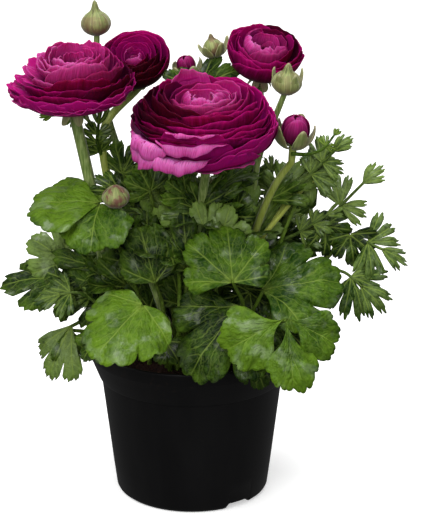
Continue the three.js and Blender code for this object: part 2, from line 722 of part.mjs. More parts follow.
function makeLeaves() {
  const leaves = {
    leaf_front_left_high: {
      foot: [-20, -20], via: [[-34, -28, 140]], joint: [-50, -32, 183], tip: [-91, -34, 186],
      face: [-0.05, -0.42, 0.9], fans: TWIN,
    },
    leaf_front_left_low: {
      foot: [-12, -34], via: [[-16, -48, 122]], joint: [-26, -62, 134], tip: [-54, -88, 115],
      face: [-0.1, -0.6, 0.8], fans: ROUNDED,
    },
    leaf_front_middle: {
      foot: [12, -30], via: [[29, -45, 124]], joint: [23, -62, 147], tip: [20, -43, 176],
      face: [0, -0.8, 0.6], fans: PALMATE,
    },
    leaf_front_right: {
      foot: [24, -22], via: [[33, -38, 118]], joint: [39, -44, 136], tip: [83, -46, 142],
      face: [0.1, -0.55, 0.82], fans: RAISED,
    },
    leaf_front_hanging: {
      foot: [26, -36], via: [[40, -58, 118]], joint: [52, -69, 129], tip: [57, -96, 97],
      face: [0.1, -0.75, 0.66], fans: TERNATE,
    },
    leaf_front_drooping: {
      foot: [16, -42], via: [[22, -50, 118]], joint: [27, -54, 131], tip: [-2, -78, 102],
      face: [-0.1, -0.72, 0.68], fans: CLEFT,
    },
    leaf_left_far: {
      foot: [-34, -4], via: [[-58, -2, 116]], joint: [-79, 0, 128], tip: [-109, -4, 129],
      face: [-0.1, -0.5, 0.85], fans: CLEFT,
    },
    leaf_left_pale: {
      foot: [-28, 8], via: [[-50, 8, 118]], joint: [-73, 6, 136], tip: [-91, 6, 151],
      face: [0.1, -0.8, 0.6], fans: CLEFT,
    },
    leaf_left_hanging: {
      foot: [-36, -18], via: [[-54, -20, 112]], joint: [-68, -20, 107], tip: [-84, -28, 79],
      face: [-0.3, -0.8, 0.5], fans: WEDGE,
    },
    leaf_left_inner: {
      foot: [-26, -4], via: [[-42, -4, 118]], joint: [-53, -2, 135], tip: [-67, 0, 159],
      face: [0, -0.8, 0.5], fans: CLEFT,
    },
    leaf_middle_back: {
      foot: [-14, -2], via: [[-17, -6, 112]], joint: [-16, -7, 130], tip: [-26, -7, 161],
      face: [0, -0.8, 0.6], fans: PALMATE,
    },
    leaf_centre: {
      foot: [-4, -30], joint: [-2, -38, 146], tip: [-4, -42, 178],
      face: [0, -0.9, 0.3], fans: PARTED,
    },
    leaf_centre_left: {
      foot: [-18, -10], via: [[-23, -16, 118]], joint: [-25, -20, 144], tip: [-24, -27, 174],
      face: [0.1, -0.8, 0.4], fans: PARTED,
    },
    leaf_centre_back: {
      foot: [-2, 7], via: [[-12, 11, 128]], joint: [-18, 11, 162], tip: [-22, 12, 196],
      face: [0, -0.8, 0.5], fans: PARTED,
    },
    leaf_centre_right: {
      foot: [4, 2], via: [[5, 3, 128]], joint: [5, 3, 154], tip: [3, 5, 184],
      face: [0, -0.8, 0.5], fans: PARTED,
    },
    leaf_right_back: {
      foot: [30, 18], via: [[40, 20, 122]], joint: [52, 20, 146], tip: [68, 18, 176],
      face: [0, -0.8, 0.5], fans: PARTED,
    },
  };
  for (const [name, leaf] of Object.entries(leaves)) {
    addPiece(name, leafSolid(leaf), "leaf");
  }
}

function makeFeathers() {
  const feathers = {
    feather_right_high: {
      foot: [28, 0], places: [[41, -5, 161], [64, -8, 189], [82, -8, 208]],
      size: 18, pairs: 2, from: 0.66, face: [0, -0.6, 0.8], seed: 500,
    },
    feather_right_middle: {
      foot: [34, 8], places: [[62, 6, 143], [88, 5, 173], [99, 2, 186]],
      size: 20, pairs: 1, from: 0.62, face: [0, -0.7, 0.7], seed: 520,
    },
    feather_right_long: {
      foot: [36, -2], places: [[74, 0, 138], [92, -2, 152], [110, -6, 147]],
      size: 23, pairs: 1, from: 0.75, face: [0, -0.6, 0.8], seed: 540,
    },
    feather_right_low: {
      foot: [34, -18], places: [[60, -14, 128], [84, -16, 138], [97, -22, 130]],
      size: 25, pairs: 1, from: 0.78, face: [0, -0.6, 0.8], seed: 560,
    },
    feather_left: {
      foot: [-34, -12], places: [[-52, -24, 120], [-64, -28, 129], [-74, -31, 129]],
      size: 18, pairs: 1, from: 0.75, face: [0, -0.6, 0.8], seed: 580,
    },
  };
  for (const [name, feather] of Object.entries(feathers)) {
    addPiece(name, featherSolid(feather), "leaf");
  }
}

// The leaves behind the stems, set out by the golden turn over the back of the pot.
function makeBackLeaves() {
  const kinds = [ROUNDED, CLEFT, PARTED, PALMATE];
  for (let k = 0; k < BACK_LEAVES; k++) {
    const azimuth = degrees(mix(34, 150, k / (BACK_LEAVES - 1)));
    const out = [Math.cos(azimuth), Math.sin(azimuth)];
    const reach = k % 2 ? 46 : 66;
    const height = (k % 2 ? 142 : 118) + 8 * sway(k + 60);
    const at = (distance, z) => [out[0] * distance, out[1] * distance, z];
    const leaf = {
      foot: [out[0] * 27, out[1] * 27],
      via: [at(reach * 0.72, height - 14)],
      joint: at(reach, height),
      tip: at(reach + 30, height + (k % 2 ? 4 : -16)),
      face: [out[0] * 0.45, out[1] * 0.45, 0.9],
      fans: kinds[k % kinds.length],
      seed: 800 + 5 * k,
    };
    addPiece(`leaf_back_${k + 1}`, leafSolid(leaf), "leaf");
  }
}

makePot();
makeBlooms();
makeFlowerStems();
makeBudStems();
makeLeaves();
makeFeathers();
makeBackLeaves();
makeSoil();

export default group;
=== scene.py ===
"""A ranunculus in a nursery pot: layered blooms, buds, lobed and feathery leaves, stems and peat."""

import json
import math

import bpy
import numpy as np
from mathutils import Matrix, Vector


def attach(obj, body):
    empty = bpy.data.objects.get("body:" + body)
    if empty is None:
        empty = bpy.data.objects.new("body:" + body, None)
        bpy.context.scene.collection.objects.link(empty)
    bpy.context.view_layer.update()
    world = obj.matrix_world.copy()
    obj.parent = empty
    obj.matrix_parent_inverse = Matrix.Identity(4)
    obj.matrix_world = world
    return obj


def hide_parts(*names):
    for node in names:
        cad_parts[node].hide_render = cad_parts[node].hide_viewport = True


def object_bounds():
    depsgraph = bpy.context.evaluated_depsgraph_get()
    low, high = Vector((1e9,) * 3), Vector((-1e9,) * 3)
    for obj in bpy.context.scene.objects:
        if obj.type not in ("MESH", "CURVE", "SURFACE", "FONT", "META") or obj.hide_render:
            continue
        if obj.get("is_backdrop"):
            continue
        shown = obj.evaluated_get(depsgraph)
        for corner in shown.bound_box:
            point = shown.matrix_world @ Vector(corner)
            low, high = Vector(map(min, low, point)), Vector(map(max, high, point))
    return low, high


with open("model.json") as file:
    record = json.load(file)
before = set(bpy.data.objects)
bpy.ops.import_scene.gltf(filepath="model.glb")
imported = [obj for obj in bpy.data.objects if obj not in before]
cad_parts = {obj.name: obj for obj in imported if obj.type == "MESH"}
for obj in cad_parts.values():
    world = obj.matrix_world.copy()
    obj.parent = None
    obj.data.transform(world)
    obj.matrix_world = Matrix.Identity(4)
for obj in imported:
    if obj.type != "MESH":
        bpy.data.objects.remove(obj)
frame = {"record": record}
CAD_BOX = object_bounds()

bl_info = {
    "name": "Potted Ranunculus",
    "version": (1, 0, 0),
    "blender": (4, 5, 0),
    "location": "View3D > Sidebar > Ranunculus",
    "description": "Builds a potted ranunculus with blooms, buds, leaves, stems, peat and pot",
    "category": "Object",
}

MM = 0.001
TAU = 2 * math.pi

# The turn in degrees from one petal or leaf to the next
GOLDEN_ANGLE = 137.5

# Heights in millimetres: the foot of a stem in the peat, and where it leaves the peat
STEM_FOOT = 74.3
STEM_FREE = 90


# numbers

def draw(n):
    """A repeatable random number from 0 to 1 for each n: the fraction left by a large sine."""
    s = np.sin(np.asarray(n, float) * 127.1 + 311.7) * 43758.5453
    return s - np.floor(s)


def sway(n):
    """A repeatable random number from -1 to 1."""
    return 2 * draw(n) - 1


def mix(a, b, share):
    """A value on the way from a to b."""
    return a + (b - a) * share


def unit(v):
    """Vectors shortened or drawn out to length one."""
    return v / np.maximum(np.linalg.norm(v, axis=-1, keepdims=True), 1e-12)


def ease(x, low, high):
    """0 below low, 1 above high and a smooth step between them."""
    t = np.clip((x - low) / (high - low), 0, 1)
    return t * t * (3 - 2 * t)


def chance(n):
    """One repeatable random number from 0 to 1."""
    return float(draw(n))


def wobble(n):
    """One repeatable random number from -1 to 1."""
    return float(sway(n))


def fall_off(x, power):
    """1 in the middle and 0 where x is 1 or -1, flat between the two for high powers."""
    return 1 - np.abs(x) ** power


def swell(x, y, seed):
    """A soft wandering height from -1 to 1: three plane waves that cross at odd angles."""
    phase = TAU * draw(seed + np.arange(3))
    return (
        np.sin(1.0 * x + 0.6 * y + phase[0])
        + np.sin(-0.7 * x + 1.3 * y + phase[1])
        + np.sin(1.9 * x - 0.4 * y + phase[2])
    ) / 3


# shapes

class Growth:
    """Closed bodies gathered into one mesh, in millimetres. Each point has a place on the
    surface (u, v) and four tones that the finishes read, most of them from 0 to 1: reach, how
    far it is towards a tip or an edge, place, how far out in a bloom, mood, how far a petal or
    leaf is painted lit, painted shade where it is low (on the skirt petals their paleness, on
    bud scales and sepals the strength of their flush), and inner, which is 1 on the upper side
    of a petal or leaf."""

    TONES = ("reach", "place", "mood", "inner")

    def __init__(self):
        self.points, self.faces, self.places, self.tones = [], [], [], []
        self.count = 0

    def add(self, points, faces, places=None, **tones):
        n = len(points)
        self.points.append(points)
        self.faces += [f + self.count for f in faces]
        self.places.append(np.zeros((n, 2)) if places is None else places)
        self.tones.append(
            np.stack([np.broadcast_to(tones.get(k, 0.0), n) for k in self.TONES], 1)
        )
        self.count += n

    def piece(self, name, finish, slot, node, sharp=None):
        """Makes the mesh object, which rides on the plant and stands for its CAD node, if any."""
        co = np.concatenate(self.points) * MM
        loops = np.concatenate([f.ravel() for f in self.faces])
        sizes = np.concatenate([np.full(len(f), f.shape[1]) for f in self.faces])
        mesh = bpy.data.meshes.new(name)
        mesh.vertices.add(len(co))
        mesh.vertices.foreach_set("co", co.astype(np.float32).ravel())
        mesh.loops.add(len(loops))
        mesh.loops.foreach_set("vertex_index", loops.astype(np.int32))
        mesh.polygons.add(len(sizes))
        mesh.polygons.foreach_set(
            "loop_start", (np.cumsum(sizes) - sizes).astype(np.int32)
        )
        mesh.update(calc_edges=True)
        mesh.polygons.foreach_set("use_smooth", np.ones(len(sizes), bool))
        uv = mesh.uv_layers.new(name="surface")
        places = np.concatenate(self.places)[loops]
        uv.data.foreach_set("uv", places.astype(np.float32).ravel())
        tones = np.concatenate(self.tones)
        for k, tone in enumerate(self.TONES):
            layer = mesh.attributes.new(tone, "FLOAT", "POINT")
            layer.data.foreach_set("value", tones[:, k].astype(np.float32))
        if sharp is not None:
            mesh.set_sharp_from_angle(angle=math.radians(sharp))
        if mesh.validate():
            raise RuntimeError(f"{name} has faces that are not sound")
        thing = bpy.data.objects.new(name, mesh)
        bpy.context.scene.collection.objects.link(thing)
        mesh.materials.append(finish)
        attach(thing, "root")
        if node:
            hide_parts(node)
        return thing


def cells(rows, columns, wrap=False):
    """The four-cornered faces of a grid, row by row, which face along rows x columns."""
    j, i = np.meshgrid(
        np.arange(rows - 1), np.arange(columns if wrap else columns - 1), indexing="ij"
    )
    k = (i + 1) % columns
    a, b = j * columns + i, (j + 1) * columns + i
    c, d = (j + 1) * columns + k, j * columns + k
    return np.stack([a, b, c, d], -1).reshape(-1, 4)


def sheet_grid(rows, columns, first):
    """Places of a sheet: c from -1 to 1 across it and t from first to 1 along it."""
    return np.linspace(-1, 1, columns)[None], np.linspace(first, 1, rows)[:, None]


def paired(a, b):
    """Two arrays side by side, spread to one shape."""
    return np.stack(np.broadcast_arrays(a, b), -1)


def round_axis(radius, angle, height):
    """Points given by radius, angle and height."""
    return np.stack([radius * np.cos(angle), radius * np.sin(angle), height], -1)


def closed_rings(count, sides):
    """The faces of rings of points one above the other: the wall, the lowest cap and the
    highest."""
    first = np.arange(sides)[None]
    wall = cells(count, sides, wrap=True)[:, ::-1]
    return [wall, first[:, ::-1], first + (count - 1) * sides]


def add_blade(growth, sheet, thickness, places, turn=None, **tones):
    """A closed thin body over a sheet of points, rows along it and columns across. The sheet is
    moved half the thickness to both sides along its own normal, and a strip closes the border.
    The inner tone is 1 on the side that the normal points to."""
    rows, columns = sheet.shape[:2]
    normal = unit(np.cross(np.gradient(sheet, axis=0), np.gradient(sheet, axis=1)))
    offset = normal * (np.asarray(thickness) / 2 * np.ones((rows, columns)))[..., None]
    upper, lower = (sheet + offset).reshape(-1, 3), (sheet - offset).reshape(-1, 3)
    n = rows * columns
    grid = np.arange(n).reshape(rows, columns)
    border = np.concatenate(
        [grid[:-1, 0], grid[-1, :-1], grid[:0:-1, -1], grid[0, :0:-1]]
    )
    after = np.roll(border, -1)
    rim = np.stack([after, border, border + n, after + n], -1)
    face = cells(rows, columns)
    points = np.concatenate([upper, lower])
    if turn is not None:
        points = turn(points)
    flat = {k: np.broadcast_to(v, (rows, columns)).ravel() for k, v in tones.items()}
    both = {k: np.concatenate([v, v]) for k, v in flat.items()}
    both["inner"] = np.concatenate([np.ones(n), np.zeros(n)])
    places = places.reshape(-1, 2)
    growth.add(points, [face, face[:, ::-1] + n, rim], np.concatenate([places] * 2), **both)


RIBS = 5


def add_tube(growth, line, radii, sides, rib=0.0, **tones):
    """A closed stalk along a line: rings of points round it, square to the line and with a
    radius for each of its points, ribbed by a cosine of the angle."""
    line, radii = np.asarray(line, float), np.asarray(radii, float)
    along = unit(np.gradient(line, axis=0))
    side = np.eye(3)[np.argmin(np.abs(along).max(0))]
    side = unit(side - along * (along @ side)[:, None])
    other = np.cross(along, side)
    angle = np.arange(sides) * TAU / sides
    swollen = radii[:, None] * (1 + rib * np.cos(RIBS * angle))
    ring = np.cos(angle)[:, None] * side[:, None] + np.sin(angle)[:, None] * other[:, None]
    points = (line[:, None] + ring * swollen[..., None]).reshape(-1, 3)
    length = np.concatenate([[0], np.cumsum(np.linalg.norm(np.diff(line, axis=0), axis=1))])
    v = np.repeat(length, sides)
    tones.setdefault("reach", v / length[-1])
    growth.add(points, closed_rings(len(line), sides), paired(np.tile(angle, len(line)), v), **tones)


def add_turned(growth, profile, sides, relief=None, turn=None, **tones):
    """A body turned round the z axis through points of radius and height. Relief scales the
    radius by angle and height. A first or last radius near 0 is closed by a small disc."""
    radius, height = np.asarray(profile, float).T
    angle = np.arange(sides) * TAU / sides
    r = radius[:, None] * np.ones(sides)
    if relief is not None:
        r = r * relief(angle[None], height[:, None])
    points = round_axis(r, angle, height[:, None] + 0 * r).reshape(-1, 3)
    if turn is not None:
        points = turn(points)
    run = np.concatenate([[0], np.cumsum(np.hypot(np.diff(radius), np.diff(height)))])
    places = paired(np.tile(angle, len(radius)), np.repeat(run, sides))
    growth.add(points, closed_rings(len(radius), sides), places, **tones)


def facing(origin, axis):
    """Moves points so that their own z axis points along an axis: the shortest turn from +z."""
    a = unit(np.asarray(axis, float))
    x, y, z = a
    k = 1 / (1 + z)
    turn = np.array(
        [[1 - x * x * k, -x * y * k, x], [-x * y * k, 1 - y * y * k, y], [-x, -y, z]]
    )
    return lambda points: points @ turn.T + np.asarray(origin, float)


def curve(places, steps):
    """Points at equal steps on a smooth curve through given places: pieces of cubic whose
    tangents weigh the spans on both sides by the square root of their length."""
    p = np.asarray(places, float)
    p = np.concatenate([[2 * p[0] - p[1]], p, [2 * p[-1] - p[-2]]])
    span = np.maximum(np.linalg.norm(np.diff(p, axis=0), axis=1) ** 0.5, 1e-4)[:, None]
    p0, p1, p2, p3 = p[:-3], p[1:-2], p[2:-1], p[3:]
    d0, d1, d2 = span[:-2], span[1:-1], span[2:]
    t1 = ((p1 - p0) / d0 - (p2 - p0) / (d0 + d1) + (p2 - p1) / d1) * d1
    t2 = ((p2 - p1) / d1 - (p3 - p1) / (d1 + d2) + (p3 - p2) / d2) * d1
    w = np.linspace(0, 1, 60, endpoint=False)[:, None]
    p1, p2, t1, t2 = (q[:, None] for q in (p1, p2, t1, t2))
    dense = p1 + t1 * w + (3 * (p2 - p1) - 2 * t1 - t2) * w**2 + (2 * (p1 - p2) + t1 + t2) * w**3
    dense = np.concatenate([dense.reshape(-1, 3), p[-2:-1]])
    length = np.concatenate([[0], np.cumsum(np.linalg.norm(np.diff(dense, axis=0), axis=1))])
    at = np.linspace(0, 1, steps) * length[-1]
    return np.stack([np.interp(at, length, dense[:, k]) for k in range(3)], 1)


# finishes

class Level:
    """A number that varies over a surface, held by a socket of a material's nodes. The usual
    signs make the Math nodes."""

    def __init__(self, finish, socket):
        self.finish, self.socket = finish, socket

    def math(self, operation, *others):
        values = {i: v for i, v in enumerate((self, *others))}
        return self.finish.node("ShaderNodeMath", {"operation": operation}, values)

    def __add__(self, other):
        return self.math("ADD", other)

    def __sub__(self, other):
        return self.math("SUBTRACT", other)

    def __mul__(self, other):
        return self.math("MULTIPLY", other)

    def __truediv__(self, other):
        return self.math("DIVIDE", other)

    def __rsub__(self, other):
        return self.finish.node("ShaderNodeMath", {"operation": "SUBTRACT"}, {0: other, 1: self})

    __radd__, __rmul__ = __add__, __mul__

    def clipped(self):
        return self.math("MAXIMUM", 0.0).math("MINIMUM", 1.0)

    def band(self, low, high):
        """0 at low, 1 at high, smooth between."""
        values = {"Value": self, "From Min": low, "From Max": high, "To Min": 0.0, "To Max": 1.0}
        return self.finish.node("ShaderNodeMapRange", {"interpolation_type": "SMOOTHSTEP"}, values)


class Finish:
    """A material under way: a Principled shader, the nodes that feed it and short names for
    those that are used often."""

    def __init__(self, name, **shader):
        self.material = bpy.data.materials.new(name)
        self.material.use_nodes = True
        self.tree = self.material.node_tree
        self.shader = self.tree.nodes["Principled BSDF"]
        for key, value in shader.items():
            self.shader.inputs[key.replace("_", " ")].default_value = value

    def node(self, kind, settings, values=None, out=0):
        """A node of a kind: its settings first, then the values or links of its sockets, which
        are named by position, identifier or name. Returns one output as a level."""
        node = self.tree.nodes.new(kind)
        for key, value in (settings or {}).items():
            setattr(node, key, value)
        for key, value in (values or {}).items():
            if isinstance(key, int):
                socket = node.inputs[key]
            else:
                socket = next(s for s in node.inputs if key in (s.identifier, s.name))
            if isinstance(value, Level):
                self.tree.links.new(value.socket, socket)
            else:
                socket.default_value = value
        if isinstance(out, str):
            out = [s.identifier for s in node.outputs].index(out)
        return Level(self, node.outputs[out])

    def tone(self, name):
        return self.node("ShaderNodeAttribute", {"attribute_name": name}, out="Fac")

    def surface(self, stretch=(1, 1, 1)):
        """The place on the piece's own surface: millimetres, or an angle round a stalk."""
        uv = self.node("ShaderNodeUVMap", {"uv_map": "surface"})
        return self.vector("MULTIPLY", uv, stretch)

    def space(self, stretch=(1, 1, 1)):
        """The place in the object, in millimetres."""
        place = self.node("ShaderNodeTexCoord", None, None, out="Object")
        return self.vector("MULTIPLY", place, tuple(1000 * s for s in stretch))

    def vector(self, operation, a, b):
        return self.node("ShaderNodeVectorMath", {"operation": operation}, {0: a, 1: b})

    def part(self, vector, axis):
        return self.node("ShaderNodeSeparateXYZ", None, {0: vector}, out="XYZ".index(axis))

    def cloud(self, vector, scale, detail, roughness=0.55):
        """Fractal noise from 0 to 1."""
        values = {"Vector": vector, "Scale": scale, "Detail": detail, "Roughness": roughness}
        return self.node("ShaderNodeTexNoise", None, values)

    def grains(self, vector, scale, feature="F1"):
        values = {"Vector": vector, "Scale": scale}
        return self.node("ShaderNodeTexVoronoi", {"feature": feature}, values)

    def blend(self, share, a, b):
        """Colour a turned into colour b by a share."""
        a, b = (c if isinstance(c, Level) else (*c, 1) for c in (a, b))
        values = {"Factor_Float": share, "A_Color": a, "B_Color": b}
        return self.node("ShaderNodeMix", {"data_type": "RGBA"}, values, out="Result_Color")

    def feed(self, name, level):
        self.tree.links.new(level.socket, self.shader.inputs[name])

    def bump(self, height, depth, strength):
        """Relief from a height of 0 to 1 that stands for a depth in millimetres."""
        values = {"Strength": strength, "Distance": depth * MM, "Height": height}
        self.feed("Normal", self.node("ShaderNodeBump", None, values))


def petal_finish(props):
    """Satin petals, thin enough to glow where light gets into them: a rose heart, deep crimson
    sides, streaks that run along each petal and, on the open skirt, lilac faces with a magenta
    margin. Light and shade are painted in by the mood, which tells how far a petal is lit:
    purple sides, brighter streaks and a painted highlight on the rims where it is, painted shade
    near black where not. Painted shade also darkens each petal deep inside, towards its claw,
    and the innermost petals round a bloom's hole. Above 0.8 the mood marks the chosen petals of
    the heart, whose lips are pale."""
    f = Finish(
        "satin_petal", Specular_IOR_Level=0.04, Subsurface_Weight=0.35,
        Subsurface_Radius=(1.0, 0.1, 0.4), Subsurface_Scale=0.0012,
    )
    reach, place, mood, inner = (f.tone(name) for name in Growth.TONES)
    veins = f.cloud(f.surface((1.4, 0.08, 1)), 1.0, 3.0, 0.6)
    fine = f.cloud(f.surface((4.2, 0.2, 1)), 1.0, 2.0, 0.5)
    blotch = f.cloud(f.space((0.05, 0.05, 0.08)), 1.0, 3.0)
    heart = 1 - place.band(0.08, 0.42)
    skirt = place.band(0.92, 0.97)
    lit = mood.band(0.3, 0.85)
    streak = veins.band(0.38, 0.7)
    broad = f.cloud(f.surface((0.42, 0.035, 1)), 1.0, 3.0, 0.6)
    chosen = mood.band(0.8, 0.88)
    # Painted light: the lit sides turn purple, and the broad streaks get brighter where lit.
    outside = f.blend(lit * 0.35, props.petal_deep, props.petal_purple)
    outside = f.blend(broad.band(0.48, 0.72) * (0.2 + 0.5 * lit), outside, props.petal_bright)
    outside = f.blend((1 - broad.band(0.3, 0.5)) * (1 - heart) * 0.5, outside, props.petal_shade)
    outside = f.blend(heart * (0.4 + 0.45 * streak), outside, props.petal_rose)
    outside = f.blend(skirt * 0.6, outside, props.petal_purple)
    outside = f.blend(skirt * streak * 0.6, outside, props.petal_bright)
    outside = f.blend(skirt * (0.25 + 0.5 * lit), outside, props.petal_bright)
    lilac = f.blend(0.15 + streak * 0.35, props.petal_pale, props.petal_rose)
    lilac = f.blend(fine.band(0.5, 0.62) * 0.4, lilac, props.petal_bright)
    lilac = f.blend(reach.band(0.84, 0.98) * 0.6, lilac, props.petal_bright)
    face = f.blend(heart * (0.3 + 0.6 * streak), props.petal_bright, props.petal_rose)
    face = f.blend(skirt * lit, face, lilac)
    color = f.blend(inner, outside, face)
    color = f.blend(blotch.band(0.5, 0.75) * 0.3, color, props.petal_bright)
    # Painted shade: petals on a bloom's unlit side, and the least pale skirt petals, turn near black.
    unlit_shade = (1 - mood.band(0.05, 0.45)) * (1 - heart)
    color = f.blend(unlit_shade * 0.92, color, props.petal_shade)
    # Painted shade deep inside each petal, towards its claw, less on the skirt.
    claw_shade = (1 - reach.band(0.4, 0.92)) * (1 - skirt * 0.8)
    color = f.blend(claw_shade * (0.5 + 0.15 * heart), color, props.petal_shade)
    color = f.blend(fine.band(0.5, 0.72) * (0.35 + 0.2 * heart), color, props.petal_deep)
    # Painted shade on the innermost petals round the bloom's hole, but not on the chosen ones.
    hole_shade = (1 - place.band(0.02, 0.1)) * (1 - chosen)
    color = f.blend(hole_shade * 0.6, color, props.petal_shade)
    lip = reach.band(0.5, 0.95) * 0.5 + streak * 0.2
    color = f.blend((1 - place.band(0.1, 0.4)) * chosen * lip * 0.5, color, props.petal_pale)
    # Painted highlight: a lighter rim on the lit petals, bright outside the heart and pale in it, none on
    # the skirt.
    rim = reach.band(0.88, 0.99) * lit * 0.4 * (1 - skirt)
    color = f.blend(rim, color, f.blend(heart, props.petal_bright, props.petal_pale))
    f.feed("Base Color", color)
    f.feed("Roughness", 0.42 + 0.25 * veins)
    f.bump(veins * 0.6 + fine * 0.4, 0.22, 0.6)
    return f.material


def leaf_finish(name, props, light, dark, glaze):
    """A leaf blade: pale midribs, side veins that leave them at an acute angle, and a net of
    small veins round domed cells. Dark and light patches drift over it, and the mood, how far
    the blade is painted lit, moves it towards the light colour or into painted shade. Some
    patches have a painted grey sheen, stronger on the lit blades, and a glaze that shines, and
    its margin and joint are yellower, the margin more so where the blade is lit. The surface
    place is the distance from the midrib and from the joint."""
    f = Finish(name, Specular_IOR_Level=0.09, Coat_Roughness=0.2)
    reach, mood, inner = f.tone("reach"), f.tone("mood"), f.tone("inner")
    spot, space = f.surface(), f.space()
    aside, along = f.part(spot, "X"), f.part(spot, "Y")
    drift = f.cloud(space, 0.09, 2.0) - 0.5
    wander = f.node("ShaderNodeTexNoise", None, {"Vector": space, "Scale": 0.22}, out="Color")
    rib = 1 - aside.band(0.15, 0.7)
    slant = (along - aside * 2.2 + drift * 26) / 12
    from_line = (slant.math("FRACT") - 0.5).math("ABSOLUTE") * 4.6
    side_vein = (1 - from_line.band(0.06, 0.42)) * (1 - aside.band(5.0, 12.0) * 0.6)
    net_along = (along - aside * 1.2) * 0.2
    net_place = f.node("ShaderNodeCombineXYZ", None, {0: aside * 0.27, 1: net_along})
    net_place = f.vector("ADD", net_place, f.vector("MULTIPLY", wander, (1.5, 1.5, 1.5)))
    cell = f.grains(net_place, 1.0, "DISTANCE_TO_EDGE")
    net = 1 - cell.band(0.0, 0.12)
    veins = rib.math("MAXIMUM", side_vein * 0.65).math("MAXIMUM", net * 0.3)
    veins = veins * (1 - reach.band(0.7, 1.0) * 0.6)
    tint = f.cloud(space, 0.075, 4.0, 0.65) - 0.5
    small_tint = f.cloud(space, 0.42, 3.0, 0.6) - 0.5
    # Painted light: the mood moves the blade from its shaded colour to its lit one, with random tints.
    shares = mood * 0.9 + tint * 2.4 + small_tint * 0.9 + cell * 0.3 - 0.05
    green = f.blend(shares.clipped(), dark, light)
    # A yellower margin, its own colour, made stronger on the lit blades as painted light.
    margin = reach.band(0.6, 1.0) * (0.25 + tint * 1.6).clipped() * (0.3 + mood)
    green = f.blend(margin, green, props.leaf_bright)
    green = f.blend((1 - reach.band(0.0, 0.22)) * 0.45, green, props.leaf_vein)
    green = f.blend(veins * 0.5, green, props.leaf_vein)
    # Painted sheen: grey shining patches, stronger on the lit blades; the same patches get a shining coat.
    gloss_and_painted_sheen = f.cloud(space, 0.09, 3.0, 0.6).band(0.5, 0.66) * reach.band(0.15, 0.7)
    green = f.blend(gloss_and_painted_sheen * (0.04 + 0.26 * mood), green, props.leaf_painted_sheen)
    under = f.blend(0.55, green, props.leaf_under)
    f.feed("Base Color", f.blend(inner, under, green))
    grain = f.cloud(space, 0.9, 2.0)
    f.feed("Roughness", glaze + 0.16 * grain + 0.14 * (1 - inner))
    f.feed("Coat Weight", (0.01 + 0.7 * gloss_and_painted_sheen) * inner)
    panel = cell.band(0.0, 0.5) * 0.5 + from_line.band(0.0, 1.8) * 0.3 + small_tint * 0.7
    f.bump(panel * (1 - rib * 0.6) + grain * 0.15, 0.9, 0.9)
    return f.material


def stem_finish(props):
    """Pale green stalks with lengthwise streaks, a downy sheen and a purple flush in places.
    They are darker at the foot, and yellower where the place tone is high."""
    f = Finish("downy_stem", Specular_IOR_Level=0.4, Sheen_Weight=0.3, Sheen_Roughness=0.45)
    reach, place = f.tone("reach"), f.tone("place")
    streak = f.cloud(f.space((1.1, 1.1, 0.05)), 1.0, 3.0)
    blush = f.cloud(f.space((0.06, 0.06, 0.03)), 1.0, 2.0)
    green = f.blend(streak.band(0.35, 0.7), props.stem_green, props.stem_light)
    green = f.blend(place * 0.75, green, props.stem_yellow)
    green = f.blend(blush.band(0.58, 0.75) * 0.35, green, props.stem_flush)
    green = f.blend((1 - reach.band(0.02, 0.3)) * 0.6, green, props.stem_foot)
    f.feed("Base Color", green)
    down = f.cloud(f.space((2.5, 2.5, 0.8)), 1.0, 2.0)
    f.feed("Roughness", 0.46 + 0.2 * down)
    f.bump(streak * 0.6 + down * 0.4, 0.18, 0.6)
    return f.material


def bud_finish(props):
    """Bud scales: yellow-green with darker ribs, pale thin margins, and a purple-brown flush
    whose strength each bud gives."""
    f = Finish("scaly_bud", Specular_IOR_Level=0.4, Sheen_Weight=0.25, Sheen_Roughness=0.45)
    reach, place, mood, inner = (f.tone(name) for name in Growth.TONES)
    streak = f.cloud(f.surface((0.9, 0.07, 1)), 1.0, 3.0)
    blot = f.cloud(f.space((0.2, 0.2, 0.2)), 1.0, 3.0)
    green = f.blend(streak.band(0.35, 0.68), props.bud_green, props.bud_light)
    green = f.blend(reach.band(0.9, 0.98) * 0.65, green, props.bud_rim)
    flush = (mood * blot.band(0.42, 0.6) + place * (1 - reach.band(0.1, 0.5))).clipped()
    green = f.blend(flush * 0.8, green, props.bud_flush)
    green = f.blend(inner * 0.35, green, props.bud_rim)
    f.feed("Base Color", green)
    f.feed("Roughness", 0.45 + 0.2 * streak)
    f.bump(streak, 0.25, 0.7)
    return f.material


# Looks that a user does not set: painted shade in the gaps between the peat's crumbs, the paper's darker
# tooth and its own light
PEAT_GAP_SHADE = (0.004, 0.002, 0.002)
PAPER_TOOTH = (0.9, 0.9, 0.895)
PAPER_GLOW = 0.45


def peat_finish(props):
    """Crumbly peat: dark red-brown crumbs, a few tan fibres and painted near-black shade in the gaps
    between them.
    """
    f = Finish("crumbly_peat", Specular_IOR_Level=0.2)
    place = f.space()
    crumbs = f.grains(place, 0.55)
    fine = f.cloud(place, 0.9, 5.0, 0.7)
    fibre = f.cloud(f.space((0.5, 0.09, 0.3)), 1.0, 4.0)
    color = f.blend(fine.band(0.35, 0.7), props.peat_dark, props.peat_brown)
    color = f.blend(fibre.band(0.6, 0.74) * 0.6, color, props.peat_fibre)
    # Painted shade: near black in the gaps between the crumbs.
    color = f.blend(crumbs.band(0.45, 0.9) * 0.6, color, PEAT_GAP_SHADE)
    f.feed("Base Color", color)
    f.feed("Roughness", 0.8 + 0.18 * fine)
    f.bump(fine * 0.6 + (1 - crumbs) * 0.4, 1.1, 1.0)
    return f.material


